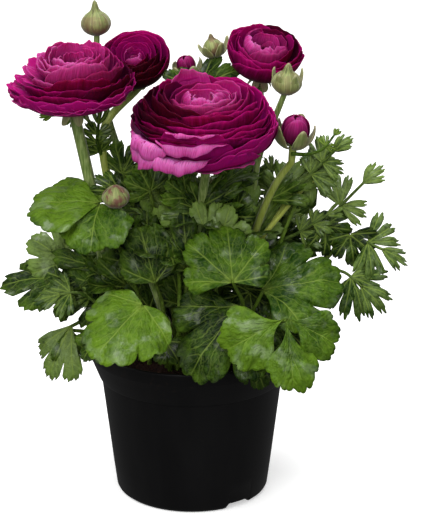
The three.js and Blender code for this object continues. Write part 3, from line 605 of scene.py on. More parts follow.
def pot_finish(props):
    """Moulded near-black plastic: a fine grain, faint flow marks down the wall, a dusting of
    peat by the rim and paler rubbed edges."""
    f = Finish("moulded_pot", Specular_IOR_Level=0.16)
    place = f.space()
    height = f.part(place, "Z")
    grain = f.cloud(place, 2.2, 3.0)
    flow = f.cloud(f.space((0.05, 0.05, 0.012)), 1.0, 3.0)
    dust = f.cloud(place, 0.35, 4.0, 0.65).band(0.55, 0.78) * height.band(60.0, 92.0)
    rubbed = f.tone("reach") * f.cloud(place, 0.5, 3.0).band(0.4, 0.7)
    color = f.blend(flow.band(0.3, 0.75), props.pot_black, props.pot_soft)
    color = f.blend(dust * 0.45, color, props.pot_dust)
    color = f.blend(rubbed * 0.3, color, props.pot_rub)
    f.feed("Base Color", color)
    f.feed("Roughness", 0.4 + 0.1 * grain + 0.25 * dust + 0.08 * flow)
    f.bump(grain * 0.7 + flow * 0.3, 0.12, 0.5)
    return f.material


def floor_finish(props):
    """Pale seamless paper: a breath of tooth in an even white that glows a little."""
    f = Finish(
        "studio_paper", Specular_IOR_Level=0.1, Emission_Color=(1, 1, 1, 1),
        Emission_Strength=PAPER_GLOW,
    )
    tooth = f.cloud(f.space((0.4, 0.4, 0.4)), 1.0, 3.0)
    f.feed("Base Color", f.blend(tooth, props.floor_white, PAPER_TOOTH))
    f.feed("Roughness", 0.85 + 0.1 * tooth)
    return f.material


# Leaf finishes: colour where painted lit, colour where in painted shade, and roughness where smoothest.
# The shaded blades are painted darker, as blades in shade, and the pale lit blades paler.
BLADES = {
    "small_blade": ("leaf_dark", "leaf_deep", 0.42),
    "grey_blade": ("leaf_grey", "leaf_mid", 0.42),
    "lit_blade": ("leaf_light", "leaf_mid", 0.34),
    "shaded_blade": ("leaf_dark", "leaf_deep", 0.36),
    "pale_lit_blade": ("leaf_grey", "leaf_light", 0.34),
}
FINISHES = {
    "satin_petal": petal_finish, "downy_stem": stem_finish, "scaly_bud": bud_finish,
    "crumbly_peat": peat_finish, "moulded_pot": pot_finish, "studio_paper": floor_finish,
}


def finish_of(name):
    """A finish made on its first use and shared by the pieces that need it."""
    made = bpy.data.materials.get(name)
    props = bpy.context.scene.ranunculus_colors
    if made is None and name in BLADES:
        light, dark, glaze = BLADES[name]
        made = leaf_finish(name, props, getattr(props, light), getattr(props, dark), glaze)
    return made or FINISHES[name](props)


# blooms

# A bloom's shape from its middle to its outermost petals: place in the bloom, radius, height
# and slope of the petal's tip, and half the petal's width in degrees. Lengths are shares of
# the bloom's radius.
BUN = [
    [0.00, 0.10, 0.54, 122, 76],
    [0.05, 0.17, 0.56, 118, 70],
    [0.09, 0.22, 0.60, 104, 74],
    [0.15, 0.28, 0.68, 106, 74],
    [0.24, 0.36, 0.77, 110, 72],
    [0.36, 0.47, 0.81, 116, 68],
    [0.48, 0.61, 0.78, 112, 64],
    [0.60, 0.75, 0.71, 102, 66],
    [0.72, 0.86, 0.61, 92, 66],
    [0.84, 0.92, 0.52, 82, 66],
    [0.92, 0.95, 0.45, 74, 64],
    [1.00, 0.97, 0.38, 66, 64],
]

SPREAD = [
    [0.00, 0.06, 0.68, 118, 78],
    [0.08, 0.14, 0.70, 112, 70],
    [0.16, 0.24, 0.77, 112, 60],
    [0.28, 0.36, 0.79, 110, 58],
    [0.40, 0.49, 0.76, 108, 56],
    [0.54, 0.63, 0.66, 104, 56],
    [0.68, 0.76, 0.56, 98, 55],
    [0.84, 0.89, 0.43, 88, 54],
    [1.00, 0.96, 0.32, 76, 54],
]

CUP = [
    [0.00, 0.08, 0.56, 118, 84],
    [0.12, 0.18, 0.56, 104, 80],
    [0.26, 0.32, 0.72, 108, 76],
    [0.44, 0.48, 0.80, 114, 72],
    [0.62, 0.63, 0.82, 114, 70],
    [0.82, 0.81, 0.77, 106, 68],
    [1.00, 0.96, 0.66, 94, 66],
]

BOWL = [
    [0.00, 0.08, 0.62, 112, 84],
    [0.16, 0.18, 0.72, 108, 74],
    [0.34, 0.36, 0.88, 114, 66],
    [0.55, 0.56, 0.90, 112, 64],
    [0.78, 0.78, 0.85, 104, 70],
    [1.00, 0.94, 0.72, 92, 78],
]

# Midlines of the skirt petals, radius and height from the claw to the tip, as shares of the
# bloom's radius.
RISING = [[0.20, -0.02], [0.62, -0.02], [0.90, 0.16], [0.98, 0.38]]
SWEEPING = [[0.20, -0.04], [0.60, -0.08], [0.88, 0.02], [1.00, 0.24]]
FLAT = [[0.20, -0.05], [0.60, -0.08], [0.86, 0.00], [0.99, 0.08]]
ROLLED = [[0.20, -0.02], [0.62, -0.02], [0.88, 0.20], [0.93, 0.50], [1.00, 0.59], [1.07, 0.45]]
HANGING = [[0.20, -0.04], [0.62, -0.05], [0.86, 0.14], [0.93, 0.38], [1.01, 0.43], [1.10, 0.26]]
LIFTED = [[0.20, 0.04], [0.60, 0.08], [0.90, 0.14], [1.01, 0.24]]
LOWEST = [[0.20, -0.06], [0.56, -0.10], [0.82, 0.00], [0.94, 0.20], [1.03, 0.20], [1.11, -0.04]]

# Skirt petals one by one: direction, half width, midline, how far the tip is raised, and
# ruffle, the last two as shares of the bloom's radius.
FRONT_SKIRT = [
    [172, 46, RISING, 0.02, 0.018],
    [128, 48, RISING, 0.02, 0.018],
    [84, 48, RISING, 0.02, 0.018],
    [40, 48, RISING, 0.02, 0.018],
    [-4, 46, RISING, 0.02, 0.018],
    [-44, 46, RISING, 0.02, 0.016],
    [-140, 44, RISING, -0.03, 0.020],
    [-20, 44, SWEEPING, 0.14, 0.020],
    [18, 44, SWEEPING, 0.06, 0.022],
    [62, 46, SWEEPING, 0.04, 0.022],
    [106, 46, SWEEPING, 0.04, 0.022],
    [152, 46, SWEEPING, 0.02, 0.022],
    [-172, 42, SWEEPING, -0.02, 0.024],
    [-42, 40, SWEEPING, 0.10, 0.022],
    [-66, 38, SWEEPING, 0.02, 0.022],
    [-100, 34, ROLLED, 0.00, 0.024],
    [-142, 34, HANGING, -0.12, 0.034],
    [-98, 40, HANGING, -0.02, 0.036],
    [-152, 34, FLAT, -0.03, 0.032],
    [-70, 36, FLAT, -0.05, 0.024],
    [-132, 34, LOWEST, 0.00, 0.038],
    [-108, 34, LOWEST, -0.01, 0.034],
]

LEFT_SKIRT = [
    [165, 42, LIFTED, 0.10, 0.026],
    [120, 44, LIFTED, 0.10, 0.022],
    [78, 44, LIFTED, 0.10, 0.022],
    [35, 44, LIFTED, 0.10, 0.022],
    [-8, 44, LIFTED, 0.10, 0.022],
    [-44, 46, RISING, 0.04, 0.022],
    [-84, 46, RISING, 0.04, 0.022],
    [-122, 46, RISING, 0.02, 0.022],
    [-158, 42, LIFTED, 0.06, 0.034],
    [-176, 34, LIFTED, 0.00, 0.034],
    [-122, 44, LIFTED, 0.03, 0.030],
    [-92, 42, LIFTED, 0.02, 0.028],
    [-142, 38, LIFTED, 0.00, 0.038],
    [-52, 44, LIFTED, 0.00, 0.028],
    [-80, 40, LIFTED, -0.03, 0.036],
    [-26, 30, LIFTED, 0.10, 0.030],
]

# Midlines of the petals inside a bloom, and these petals one by one: direction, half width,
# midline, how far their sides fall back and place in the bloom.
SHELL = [[0.08, 0.30], [0.26, 0.52], [0.27, 0.70], [0.16, 0.79]]
CURL = [[0.06, 0.30], [0.15, 0.50], [0.16, 0.66], [0.09, 0.73]]
CAP = [[0.15, 0.20], [0.46, 0.50], [0.58, 0.78], [0.56, 0.96]]
OVER = [[0.15, 0.20], [0.50, 0.46], [0.64, 0.70], [0.62, 0.84]]
BALL = [[0.12, 0.25], [0.46, 0.56], [0.50, 0.84], [0.32, 0.98]]
INNER_BALL = [[0.12, 0.25], [0.34, 0.54], [0.36, 0.78], [0.22, 0.90]]
FRONT_INSIDE = [
    [112, 34, CAP, 0.12, 0.24],
    [146, 30, OVER, 0.12, 0.5],
    [-170, 46, SHELL, 0.12, 0.16],
    [-110, 44, SHELL, 0.14, 0.12],
    [-30, 44, SHELL, 0.12, 0.2],
    [30, 40, CURL, 0.12, 0.1],
    [-70, 46, CURL, 0.14, 0.04],
    [170, 46, CURL, 0.14, 0.06],
]
BACK_INSIDE = [[-20, 60, CURL, 0.14, 0.2], [-95, 56, SHELL, 0.14, 0.24], [150, 56, SHELL, 0.14, 0.3]]
RIGHT_INSIDE = [
    [-165, 62, BALL, 0.2, 0.15],
    [-105, 52, BALL, 0.2, 0.26],
    [-140, 66, INNER_BALL, 0.14, 0.18],
    [140, 50, BALL, 0.2, 0.34],
    [-50, 46, BALL, 0.2, 0.3],
    [-80, 44, INNER_BALL, 0.2, 0.2],
]

# The open blooms. Bright and lilac are the directions of the side painted as best lit and of the
# palest skirt petals, and pale says how pale those get. Glow is the place tone of the innermost
# petals: 0 paints shade into the bloom's hole and 0.08 next to none. Blush is how far out the
# rose of the heart reaches. Tall lets some petals reach higher, flare spreads those on the left
# side, lift raises the left side and lowers the right one half as much, cover raises the petals
# in front and rise those behind. Ragged is how uneven the petals' edges are, and lean how far a
# bloom's top is moved aside.
EVEN = dict(glow=0, rise=0, flare=0, lift=0, cover=0, skirt=[], inside=[])
FLOWERS = {
    "bloom_front": dict(
        EVEN, base=[8, -28, 216], axis=[-0.05, -0.15, 1], radius=41.5, seed=1, shape=BUN,
        count=57, lean=[0.04, -0.10], skirt=FRONT_SKIRT, inside=FRONT_INSIDE, bright=-25,
        lilac=-120, pale=1.0, blush=1.1, tall=0.06, lift=0.10, ragged=0.016,
    ),
    "bloom_left": dict(
        EVEN, base=[-65, -10, 236], axis=[-0.04, -0.12, 1], radius=36.5, seed=40, shape=SPREAD,
        count=52, lean=[0.04, -0.02], skirt=LEFT_SKIRT, bright=-140, lilac=-110, pale=0.7,
        glow=0.08, blush=3.3, tall=0.24, rise=0.1, flare=1, cover=0.22, ragged=0.022,
    ),
    "bloom_back_left": dict(
        EVEN, base=[-31, 47, 237], axis=[-0.1, -0.6, 0.8], radius=22, seed=80, shape=CUP,
        count=26, lean=[-0.02, 0.16], inside=BACK_INSIDE, bright=95, lilac=0, pale=0.3,
        blush=0.5, tall=0.12, ragged=0.012,
    ),
    "bloom_right": dict(
        EVEN, base=[40, 34, 241], axis=[0.1, -0.42, 0.9], radius=24.5, seed=120, shape=BOWL,
        count=24, lean=[0.02, 0.12], inside=RIGHT_INSIDE, bright=-140, lilac=0, pale=0.3,
        blush=1.6, tall=0.10, cover=0.08, ragged=0.024,
    ),
}

OPENING = dict(base=[57, -15, 212], axis=[0.08, -0.15, 1], radius=8.6, seed=160)
HALF_HIDDEN = dict(base=[-2, 44, 238], axis=[-0.2, -0.3, 1], radius=5.6, seed=180)
RIGHT_BUD = dict(base=[53, -6, 240], axis=[0.06, -0.1, 1], radius=7, seed=300)
BACK_BUD = dict(base=[13, 38, 251], axis=[-0.2, 0, 1], radius=5, seed=320)


def on_axis(flower, distance):
    """A point on the axis of a flower, below its base when the distance is negative."""
    return np.asarray(flower["base"], float) + unit(np.asarray(flower["axis"], float)) * distance


def heart_point(fall):
    """A point on the heart of a bloom as shares of its radius: a half egg, with fall 0 at its
    top and 90 degrees at its widest."""
    return 0.2 * math.sin(fall), 0.05 + 0.35 * math.cos(fall)


# The places along a petal where its midline is worked out
MIDLINE = np.linspace(0, 1, 101)


def arc(root, tip, slope):
    """A petal's midline from root to tip, radius and height, that is part of a circle and ends
    at a slope: radius, height and slope at equal steps."""
    chord = np.subtract(tip, root)
    bend = 2 * (math.radians(slope) - math.atan2(chord[1], chord[0]))
    bend = bend if abs(bend) > 0.02 else 0.02
    start = math.radians(slope) - bend
    length = np.hypot(*chord) * (bend / 2) / math.sin(bend / 2)
    at = start + bend * MIDLINE
    radius = root[0] + length * (np.sin(at) - math.sin(start)) / bend
    height = root[1] + length * (math.cos(start) - np.cos(at)) / bend
    return radius, height, at


def bent(places):
    """A midline through places of radius and height: radius, height and slope."""
    line = curve(np.column_stack([places, np.zeros(len(places))]), len(MIDLINE))
    radius, height = line[:, 0], line[:, 1]
    return radius, height, np.unwrap(np.arctan2(np.gradient(height), np.gradient(radius)))


def petal_scale():
    """The share of their usual thickness that a user gives the petals."""
    return bpy.context.scene.ranunculus_sizes.petal_thickness


def opened(t, claw, narrowing, start):
    """How wide a petal is along its length: a quarter of a sine from its foot to the end of its
    claw, and drawn in again from a start on by a square."""
    drawn_in = narrowing * np.clip((t - start) / (1 - start), 0, 1) ** 2
    return np.sin(np.pi / 2 * np.minimum(t / claw, 1)) * (1 - drawn_in)


def waves(x, *terms):
    """A sum of sines of x, each given by its size, pace and phase."""
    return sum(size * np.sin(pace * x + phase) for size, pace, phase in terms)


def add_petal(growth, move, size, midline, half, azimuth, seed, place, *, arch, grid, mood,
              ruffle, point=3.4, raised=0.0, lean=(0, 0), thick=0.26, claw=0.5, ragged=0.006):
    """One petal. The sheet carries its midline round the bloom's axis by an angle that opens
    from a narrow claw. Its sides fall back from the tip by a power of the distance from the
    middle, one side more than the other. Ripples that grow towards the edge move it along its
    own normal, and the bloom's lean shifts it by the square of its height."""
    c, t = sheet_grid(*grid, 0)
    t = 0.04 + 0.96 * t**0.75
    phase = TAU * draw(seed + np.arange(6) * 1.7)
    skew = 0.05 * sway(seed + 11)
    uneven = waves(c, (1, 4.3, phase[3]), (0.7, 10, phase[4]), (0.5, 19, phase[5]))
    s = t * (1 - arch * np.abs(c) ** point + skew * c - abs(skew) + ragged * (uneven - 2.2))
    radius, height, at = (np.interp(s, MIDLINE, m) for m in midline)
    ripple = waves(c, (1, 4.1, phase[0]), (0.6, 9.3, phase[1]), (0.4, 17, phase[2]))
    ripple = ruffle * s**4 * ripple
    radius = size * (radius - ripple * np.sin(at))
    height = size * (height + ripple * np.cos(at) + raised * s**3)
    half = math.radians(half)
    turn = math.radians(azimuth) + half * c * opened(t, claw, 0.2, 0.6)
    turn = turn + math.radians(5) * sway(seed + 9) * s**2
    shift = size * (np.maximum(height, 0) / size) ** 2
    sheet = round_axis(radius, turn, height)
    sheet[..., 0] += lean[0] * shift
    sheet[..., 1] += lean[1] * shift
    thin = petal_scale() * thick * (0.45 + 0.55 * (1 - s**8) * fall_off(c, 8))
    across = c * half * size * 0.7 + 40 * draw(seed)
    places = paired(across, s * size)
    side_edge = np.abs(c) ** 6 * np.minimum(1, 1.4 * t) * 0.99
    edge = np.maximum(s / np.max(s, axis=0, keepdims=True), side_edge)
    add_blade(growth, sheet, thin, places, move, reach=edge, place=place, mood=mood)


def add_heart(growth, move, size):
    """The solid heart under the petals: a half egg on a narrow foot."""
    fall = np.radians(np.linspace(100, 4, 9))
    profile = [[0.16 * size, 0]] + [
        [0.24 * size * math.sin(a), size * (0.05 + 0.42 * math.cos(a))] for a in fall
    ]
    add_turned(growth, profile, 20, turn=move, reach=0.2, place=0.5, mood=0.3)


def painted_light_level(flower, azimuth, k):
    """How far a petal's colour is painted lit, from 0 to 0.8: most on the bloom's bright side,
    with a random part of its own."""
    towards = math.cos(math.radians(azimuth - flower["bright"]))
    return float(np.clip(0.42 + 0.38 * towards + 0.24 * sway(flower["seed"] + k + 1000), 0, 0.8))


def paleness(flower, azimuth, k):
    """How far a skirt petal's face turns lilac, from 0 to 1."""
    towards = 0.5 + 0.5 * math.cos(math.radians(azimuth - flower["lilac"]))
    return float(np.clip(flower["pale"] * towards**0.7 + 0.1 * sway(flower["seed"] + k + 1200), 0, 1))


def middle(flower):
    """The way a flower's points are moved into place, its size and its seed."""
    return facing(flower["base"], flower["axis"]), flower["radius"], flower["seed"]


# The mood of the petals in the heart whose lips are pale
CHOSEN = 0.86


def grow_bloom(growth, flower):
    """A bloom: petals at golden-angle steps from the middle outwards, each one nested in the
    next, a few single ones in its heart and the skirt petals round them."""
    move, size, seed = middle(flower)
    rows = np.array(flower["shape"], float)
    lean, ragged = flower["lean"], flower["ragged"]
    add_heart(growth, move, size)
    count = flower["count"]
    for i in range(count):
        place = (i / (count - 1)) ** 0.82
        r, z, slope, half = (np.interp(place, rows[:, 0], rows[:, k]) for k in range(1, 5))
        azimuth = i * GOLDEN_ANGLE + 14 * wobble(seed + i + 800)
        outer = float(ease(place, 0.3, 0.6))
        left = -math.cos(math.radians(azimuth))
        flare = flower["flare"] * outer * float(ease(left, 0.2, 0.9))
        front = -math.sin(math.radians(azimuth))
        before, behind = max(front, 0), max(-front, 0)
        cover = flower["cover"] * float(ease(place, 0.55, 0.85))
        reach = flower["tall"] * outer * (1 - flare) * chance(seed + i + 500)
        reach = reach * (1 - behind) + cover * before + flower["rise"] * behind
        tip_radius = r * (1 + 0.035 * wobble(seed + i + 200)) + 0.07 * flare
        tip_height = z * (1 + 0.06 * wobble(seed + i + 400) + reach) - 0.04 * flare * place
        tip_height = tip_height + flower["lift"] * outer * (max(left, 0) + 0.5 * min(left, 0))
        slope = slope + 5 * wobble(seed + i) - 55 * flare
        heart = heart_point(math.radians(mix(18, 92, place)))
        add_petal(
            growth, move, size, arc(heart, (tip_radius, tip_height), slope),
            half * (1 + 0.14 * wobble(seed + i + 600) - 0.4 * flare), azimuth,
            seed * 3 + i * 7.3, mix(flower["glow"], 0.9, place ** flower["blush"]), lean=lean,
            ruffle=mix(0.015, 0.020, place), ragged=ragged, point=mix(3.4, 1.5, flare),
            arch=mix(mix(0.2, 0.12, place), 0.4, flare), grid=(17, 27),
            mood=painted_light_level(flower, azimuth, i),
        )
    for k, (azimuth, half, places, arch, place) in enumerate(flower["inside"]):
        add_petal(
            growth, move, size, bent(places), half, azimuth, seed + 70 + 3.7 * k, place,
            arch=arch, point=2.6, ruffle=0.022, ragged=0.02, lean=lean, grid=(19, 25),
            mood=CHOSEN if place < 0.11 else 0.76,
        )
    for k, (azimuth, half, places, raised, ruffle) in enumerate(flower["skirt"]):
        add_petal(
            growth, move, size, bent(places), half, azimuth, seed * 5 + 900 + 3.1 * k, 1.0,
            arch=0.17, point=3, raised=raised, ruffle=ruffle, ragged=ragged, lean=lean,
            grid=(21, 29), thick=0.32, claw=0.36, mood=paleness(flower, azimuth, k),
        )


def grow_bud_petals(growth, flower, count):
    """Petals still wrapped in a ball: tips close over the middle."""
    move, size, seed = middle(flower)
    add_heart(growth, move, size)
    for i in range(count):
        place = i / (count - 1)
        places = [
            [0.2, 0.02], [mix(0.4, 0.8, place), 0.4], [mix(0.55, 0.98, place), 1.0],
            [mix(0.45, 0.82, place), 1.65], [mix(0.05, 0.36, place), mix(2.12, 2.0, place)],
        ]
        add_petal(
            growth, move, size, bent(places), mix(66, 58, place), i * GOLDEN_ANGLE + 30,
            seed + i * 3.7, 0.24 + 0.1 * chance(seed + i), arch=0.18, ruffle=0.01,
            grid=(21, 21), mood=0.7,
        )


# stems, sepals and buds

STEM_SIDES = 14
STALK_SIDES = 10
STEM_RIB = 0.05

# The top of a flower's stem, in millimetres from the flower's base: where it turns in line with
# the flower, and how far it has widened into the seat of the petals
STEM_TURN = -11
SEAT = [[-8, 0.08], [-5, 0.3], [-3, 0.6], [-1.5, 0.86], [-0.3, 1.0]]


def route(foot, places, steps):
    """The line of a stem: its foot in the peat, straight up, then the curve through places.
    Also how far up each point is: 0 for the foot, then even steps from 0 to 1."""
    line = np.concatenate([[[*foot, STEM_FOOT]], curve([[*foot, STEM_FREE], *places], steps)])
    return line, np.concatenate([[0], np.linspace(0, 1, steps)])


def add_stem(growth, foot, places, radii):
    """The stem below a bud, with a slight wave in its thickness."""
    line, share = route(foot, places, 40)
    radius = mix(*radii, share) * (1 + 0.03 * np.sin(share * 23))
    add_tube(growth, line, radius, STEM_SIDES, STEM_RIB)


def add_branch(growth, places, radii, **tones):
    """A thin stalk that starts inside a stem and tapers evenly."""
    taper = mix(*radii, np.linspace(0, 1, 24))
    add_tube(growth, curve(places, len(taper)), taper, STALK_SIDES, **tones)


def add_flower_stem(growth, flower, foot, places, radii, **tones):
    """The stem below a flower: its last stretch is in line with the flower's axis and widens
    into the seat of the petals."""
    seat = max(radii[1] * 1.2, flower["radius"] * 0.12)
    line, share = route(foot, [*places, on_axis(flower, STEM_TURN)], 44)
    below, width = np.array(SEAT).T
    line = np.concatenate([line, [on_axis(flower, distance) for distance in below]])
    radius = np.concatenate([mix(*radii, share), mix(radii[1], seat, width)])
    add_tube(growth, line, radius, STEM_SIDES, STEM_RIB, **tones)


def add_sepals(growth, flower, count, slopes, length, half, curl=0.0, blush=0.3):
    """A ring of sepals under a flower or round a bud: pointed scales whose midlines turn evenly
    from one slope to another, with the tips curled back."""
    move, _, seed = middle(flower)
    start, bend = math.radians(slopes[0]), math.radians(slopes[1] - slopes[0])
    half = math.radians(half)
    c, t = sheet_grid(17, 11, 0.03)
    s = t * (1 - 0.2 * np.abs(c) ** 2)
    for k in range(count):
        run = length * (1 + 0.1 * sway(k + seed))
        at = start + bend * s
        radius = 0.4 + run * (np.sin(at) - math.sin(start)) / bend
        height = -1.5 + run * (math.cos(start) - np.cos(at)) / bend
        lift = 0.3 * np.sin(k + 5 * c) * s**2 - curl * np.clip((s - 0.6) / 0.4, 0, 1) ** 2
        radius, height = radius - lift * np.sin(at), height + lift * np.cos(at)
        azimuth = math.radians(360 * k / count + 20 * chance(seed))
        turn = azimuth + half * c * opened(t, 0.5, 0.4, 0.5)
        sheet = round_axis(radius, turn, height + 0 * c)
        thickness = 0.8 * (0.4 + 0.6 * (1 - s**6) * fall_off(c, 6))
        places = paired(c * half * 6 + 9 * k, s * run)
        edge = np.maximum(s, np.abs(c) ** 4)
        add_blade(growth, sheet, thickness, places, move, reach=edge, place=0.0, mood=blush)


def add_bud(growth, origin, axis, radius, height, tip, seed, blush=0.3, flush=0.0):
    """A closed bud: a ribbed core with five pointed scales that overlap round it."""
    move = facing(origin, axis)
    outline = np.array(
        [
            [0.30, -1 / height], [0.78, 0.10], [1.0, 0.38], [0.92, 0.62],
            [0.62, 0.85], [0.30, 1.0], [0.07, 1 + tip / height],
        ]
    )
    smooth = curve(np.column_stack([outline, np.zeros(len(outline))]) * [radius, height, 0], 40)

    def relief(angle, z):
        rise = np.sin(np.pi * np.clip(z / height, 0, 1))
        return 1 + 0.045 * np.cos(5 * angle) * rise

    add_turned(growth, smooth[:, :2], 40, relief, move, reach=0.4, place=flush, mood=blush)
    c, t = sheet_grid(21, 13, 0.02)
    s = t * (1 - 0.16 * np.abs(c) ** 2) * 0.97
    r, z = (np.interp(s, np.linspace(0, 1, 40), smooth[:, k]) for k in (0, 1))
    r = r * (1.03 + 0.05 * s + 0.03 * c) + 0.15
    width = math.radians(46) * np.sin(np.pi * (0.12 + 0.8 * t)) ** 0.6
    thickness = 0.5 * (0.5 + 0.5 * fall_off(c, 6) * np.ones_like(t))
    edge = np.maximum(s, np.abs(c) ** 4)
    for k in range(5):
        turn = math.radians(72 * k + 9 * sway(seed + k)) + width * c
        places = paired(c * radius + 11 * k, s * height)
        sheet = round_axis(r, turn, z + 0 * c)
        add_blade(growth, sheet, thickness, places, move, reach=edge, place=flush, mood=blush)


# leaves

UNDERGROWTH = 15
BACK_LEAVES = 6
# Small leaves painted more lit than this get the pale lit finish.
PALE_LIT_LEVEL = 0.6
LEAF_THICKNESS = 0.6

# How far from the middle of the pot the stalks of the small leaves stand at most
FEET_REACH = 34

# Fans of leaf: half spread in degrees, lobes, depth of the cuts between them, teeth to a lobe
# and how deep they bite, taper at the sides, droop, skew, which makes one side longer, and waist,
# which draws the base in over a neck that is longer for lower numbers. Size is a share of the way
# from joint to tip, turn swings the fan aside and shade is how much darker it is than its leaf.
FAN = dict(
    size=1, lobes=3, cut=0.3, teeth=4, bite=0.1, taper=0.25, droop=0.18, waist=0.0, skew=0,
    neck=1.3, turn=0, shade=0,
)
LEAFLET = dict(lobes=1, teeth=6, bite=0.05, taper=0.15)
FINGERED = dict(spread=42, cut=0.6, teeth=2, bite=0.2, droop=0.25)
CUPPED = [dict(spread=104, lobes=5, cut=0.14, taper=0.4, teeth=3, bite=0.05, size=0.96, skew=0.06)]
PALMATE = [dict(spread=112, cut=0.16, taper=0.44, bite=0.05)]
ROUNDED = [dict(spread=108, cut=0.22, taper=0.62, bite=0.05, skew=-0.04, size=0.92)]
RAISED = [dict(spread=84, cut=0.34, turn=8, bite=0.06, taper=0.26, waist=0.3)]
CLEFT = [dict(spread=84, cut=0.34, bite=0.07)]
DROOPING = [dict(spread=88, cut=0.42, bite=0.06, taper=0.24, size=0.98, waist=0.3)]
SLENDER = [dict(spread=44, cut=0.34, taper=0.1, bite=0.08)]
SPOON = [dict(spread=78, cut=0.14, taper=0.5, bite=0.05)]
WEDGE = [dict(spread=60, taper=0.1, bite=0.07)]
RAGGED = [dict(spread=80, cut=0.5, teeth=3, bite=0.12)]
DIVIDED = [dict(spread=104, lobes=5, cut=0.62, teeth=2, bite=0.16, droop=0.3)]
PARTED = [dict(spread=104, lobes=5, cut=0.46, teeth=3)]
TERNATE = [
    dict(LEAFLET, spread=33, waist=0.98, neck=0.7, shade=0.35),
    dict(LEAFLET, turn=-66, size=0.9, spread=44, waist=0.97),
    dict(LEAFLET, turn=58, size=0.78, spread=40, waist=0.97, shade=0.5),
]
TWIN = [
    dict(LEAFLET, spread=56, teeth=9, cut=0.2, bite=0.035, turn=-4),
    dict(LEAFLET, turn=78, size=0.80, spread=62, teeth=8, cut=0.2, bite=0.045, shade=0.55),
    dict(LEAFLET, turn=-84, size=0.34, spread=40, teeth=4),
]


def add_fan(growth, fan, joint, tip, face, seed, mood, fine=2, rows=14):
    """A fan of leaf that starts at a joint and spreads towards its tip, lying square to its
    face. The outline is a length for each direction: lobes parted by notches, a power of a sine,
    and edged with round teeth of two sizes, two more powers. The blade droops along and at its
    sides, dips at each midrib, swells between them at two scales and waves at its margin."""
    fan = {**FAN, **fan}
    joint, tip = np.asarray(joint, float), np.asarray(tip, float)
    along = tip - joint
    size = np.linalg.norm(along) * fan["size"]
    along = unit(along)
    up = np.asarray(face, float)
    up = unit(up - along * (up @ along))
    spread = math.radians(fan["spread"])
    lobes, teeth = fan["lobes"], fan["teeth"]
    columns = 4 * teeth * lobes * fine + 1
    a = np.linspace(0, 1, columns)[None]
    t = np.linspace(0.02, 1, rows)[:, None] ** 0.85
    u = 2 * a - 1
    lobe = np.minimum(np.floor(a * lobes), lobes - 1)
    in_lobe = a * lobes - lobe
    notch = 1 - np.maximum(np.sin(np.pi * in_lobe), 0) ** 0.35
    uneven = 0.12 * np.sin(5 * u + TAU * draw(seed + 3))
    tooth = 1 - np.abs(np.sin(np.pi * (teeth * in_lobe + uneven * np.sin(np.pi * in_lobe)))) ** 0.6
    small_tooth = 1 - np.abs(np.sin(TAU * teeth * in_lobe)) ** 0.7
    vary = 1 + 0.05 * np.sin(2.7 * u + TAU * draw(seed)) + 0.03 * np.sin(9 * u + TAU * draw(seed + 1))
    own = 1 + 0.07 * sway(seed + lobe) * np.sin(np.pi * in_lobe) ** 0.5
    edge = fan["bite"] * ease(t, 0.5, 1)
    reach = (1 - fan["taper"] * u**2 + fan["skew"] * u) * (1 - fan["cut"] * notch) * vary * own
    reach = reach * (1 - edge * (tooth + 0.4 * small_tooth))
    rho = t * reach
    angle = u * spread * (1 - fan["waist"] * (1 - t) ** fan["neck"])
    x, y = rho * np.cos(angle), rho * np.sin(angle)
    ripple = 0.05 * np.sin(3 * u * spread + 6 * draw(seed)) * rho**2
    lobe_arc = spread / lobes
    aside = np.abs(in_lobe - 0.5) * 2 * lobe_arc * rho
    crease = 0.16 * aside * (1 - 0.6 * t)
    dent = 1.3 / size * swell(x * size / 6, y * size / 6, seed)
    dent = (dent + 0.5 / size * swell(x * size / 2.3, y * size / 2.3, seed + 7)) * ease(rho, 0.1, 0.4)
    margin = 0.025 * np.sin(11 * u * spread + TAU * draw(seed + 2)) * ease(t, 0.55, 1)
    z = ripple + crease + dent + margin - fan["droop"] * (x**2 + 0.5 * y**2) - 0.05 * ease(t, 0.75, 1)
    local = np.stack([x, y, z + 0 * x], -1) * size
    turn = math.radians(fan["turn"])
    roll = turn * 0.2
    spin = np.array([[math.cos(turn), -math.sin(turn), 0], [math.sin(turn), math.cos(turn), 0], [0, 0, 1]])
    tilt = np.array([[1, 0, 0], [0, math.cos(roll), -math.sin(roll)], [0, math.sin(roll), math.cos(roll)]])
    basis = np.stack([along, np.cross(up, along), up], 1) @ spin @ tilt
    sheet = local @ basis.T + joint
    thickness = LEAF_THICKNESS * bpy.context.scene.ranunculus_sizes.leaf_thickness
    thin = thickness * (0.35 + 0.65 * (1 - t**10)) * (1 - 0.35 * ease(aside * size, 0, 2.0))
    mood = mood - fan["shade"]
    add_blade(growth, sheet, thin, paired(aside * size, rho * size), reach=t + 0 * a, mood=mood)


def add_stem_leaves(growth, joint, tips, face, seed):
    """Fingered leaves that start together at a joint of a stem."""
    for k, tip in enumerate(tips):
        add_fan(growth, FINGERED, joint, tip, face, seed + k, 0.5, rows=12)


def add_feather_fans(growth, places, size, pairs, start, face, seed, mood, fine=2):
    """Fingered leaflets on both sides of a rib and one at its tip."""
    last = 200
    line = curve(places, last + 1)
    for k in range(pairs + 1):
        share = k / pairs
        at = int(round(mix(start, 0.95, share) * last))
        joint = line[at]
        along = unit(line[min(at + 1, last)] - line[at - 1])
        turns = [0] if k == pairs else [56 + 8 * sway(seed + k), -56 + 8 * sway(seed + k + 9)]
        for side, turn in enumerate(turns):
            length = size * mix(1, 0.8, share) * (1 + 0.15 * sway(seed + k + side * 5))
            fan = dict(FINGERED, turn=float(turn))
            tip = joint + along * length
            add_fan(growth, fan, joint, tip, face, seed + 3 * k + side, mood, fine=fine, rows=10)


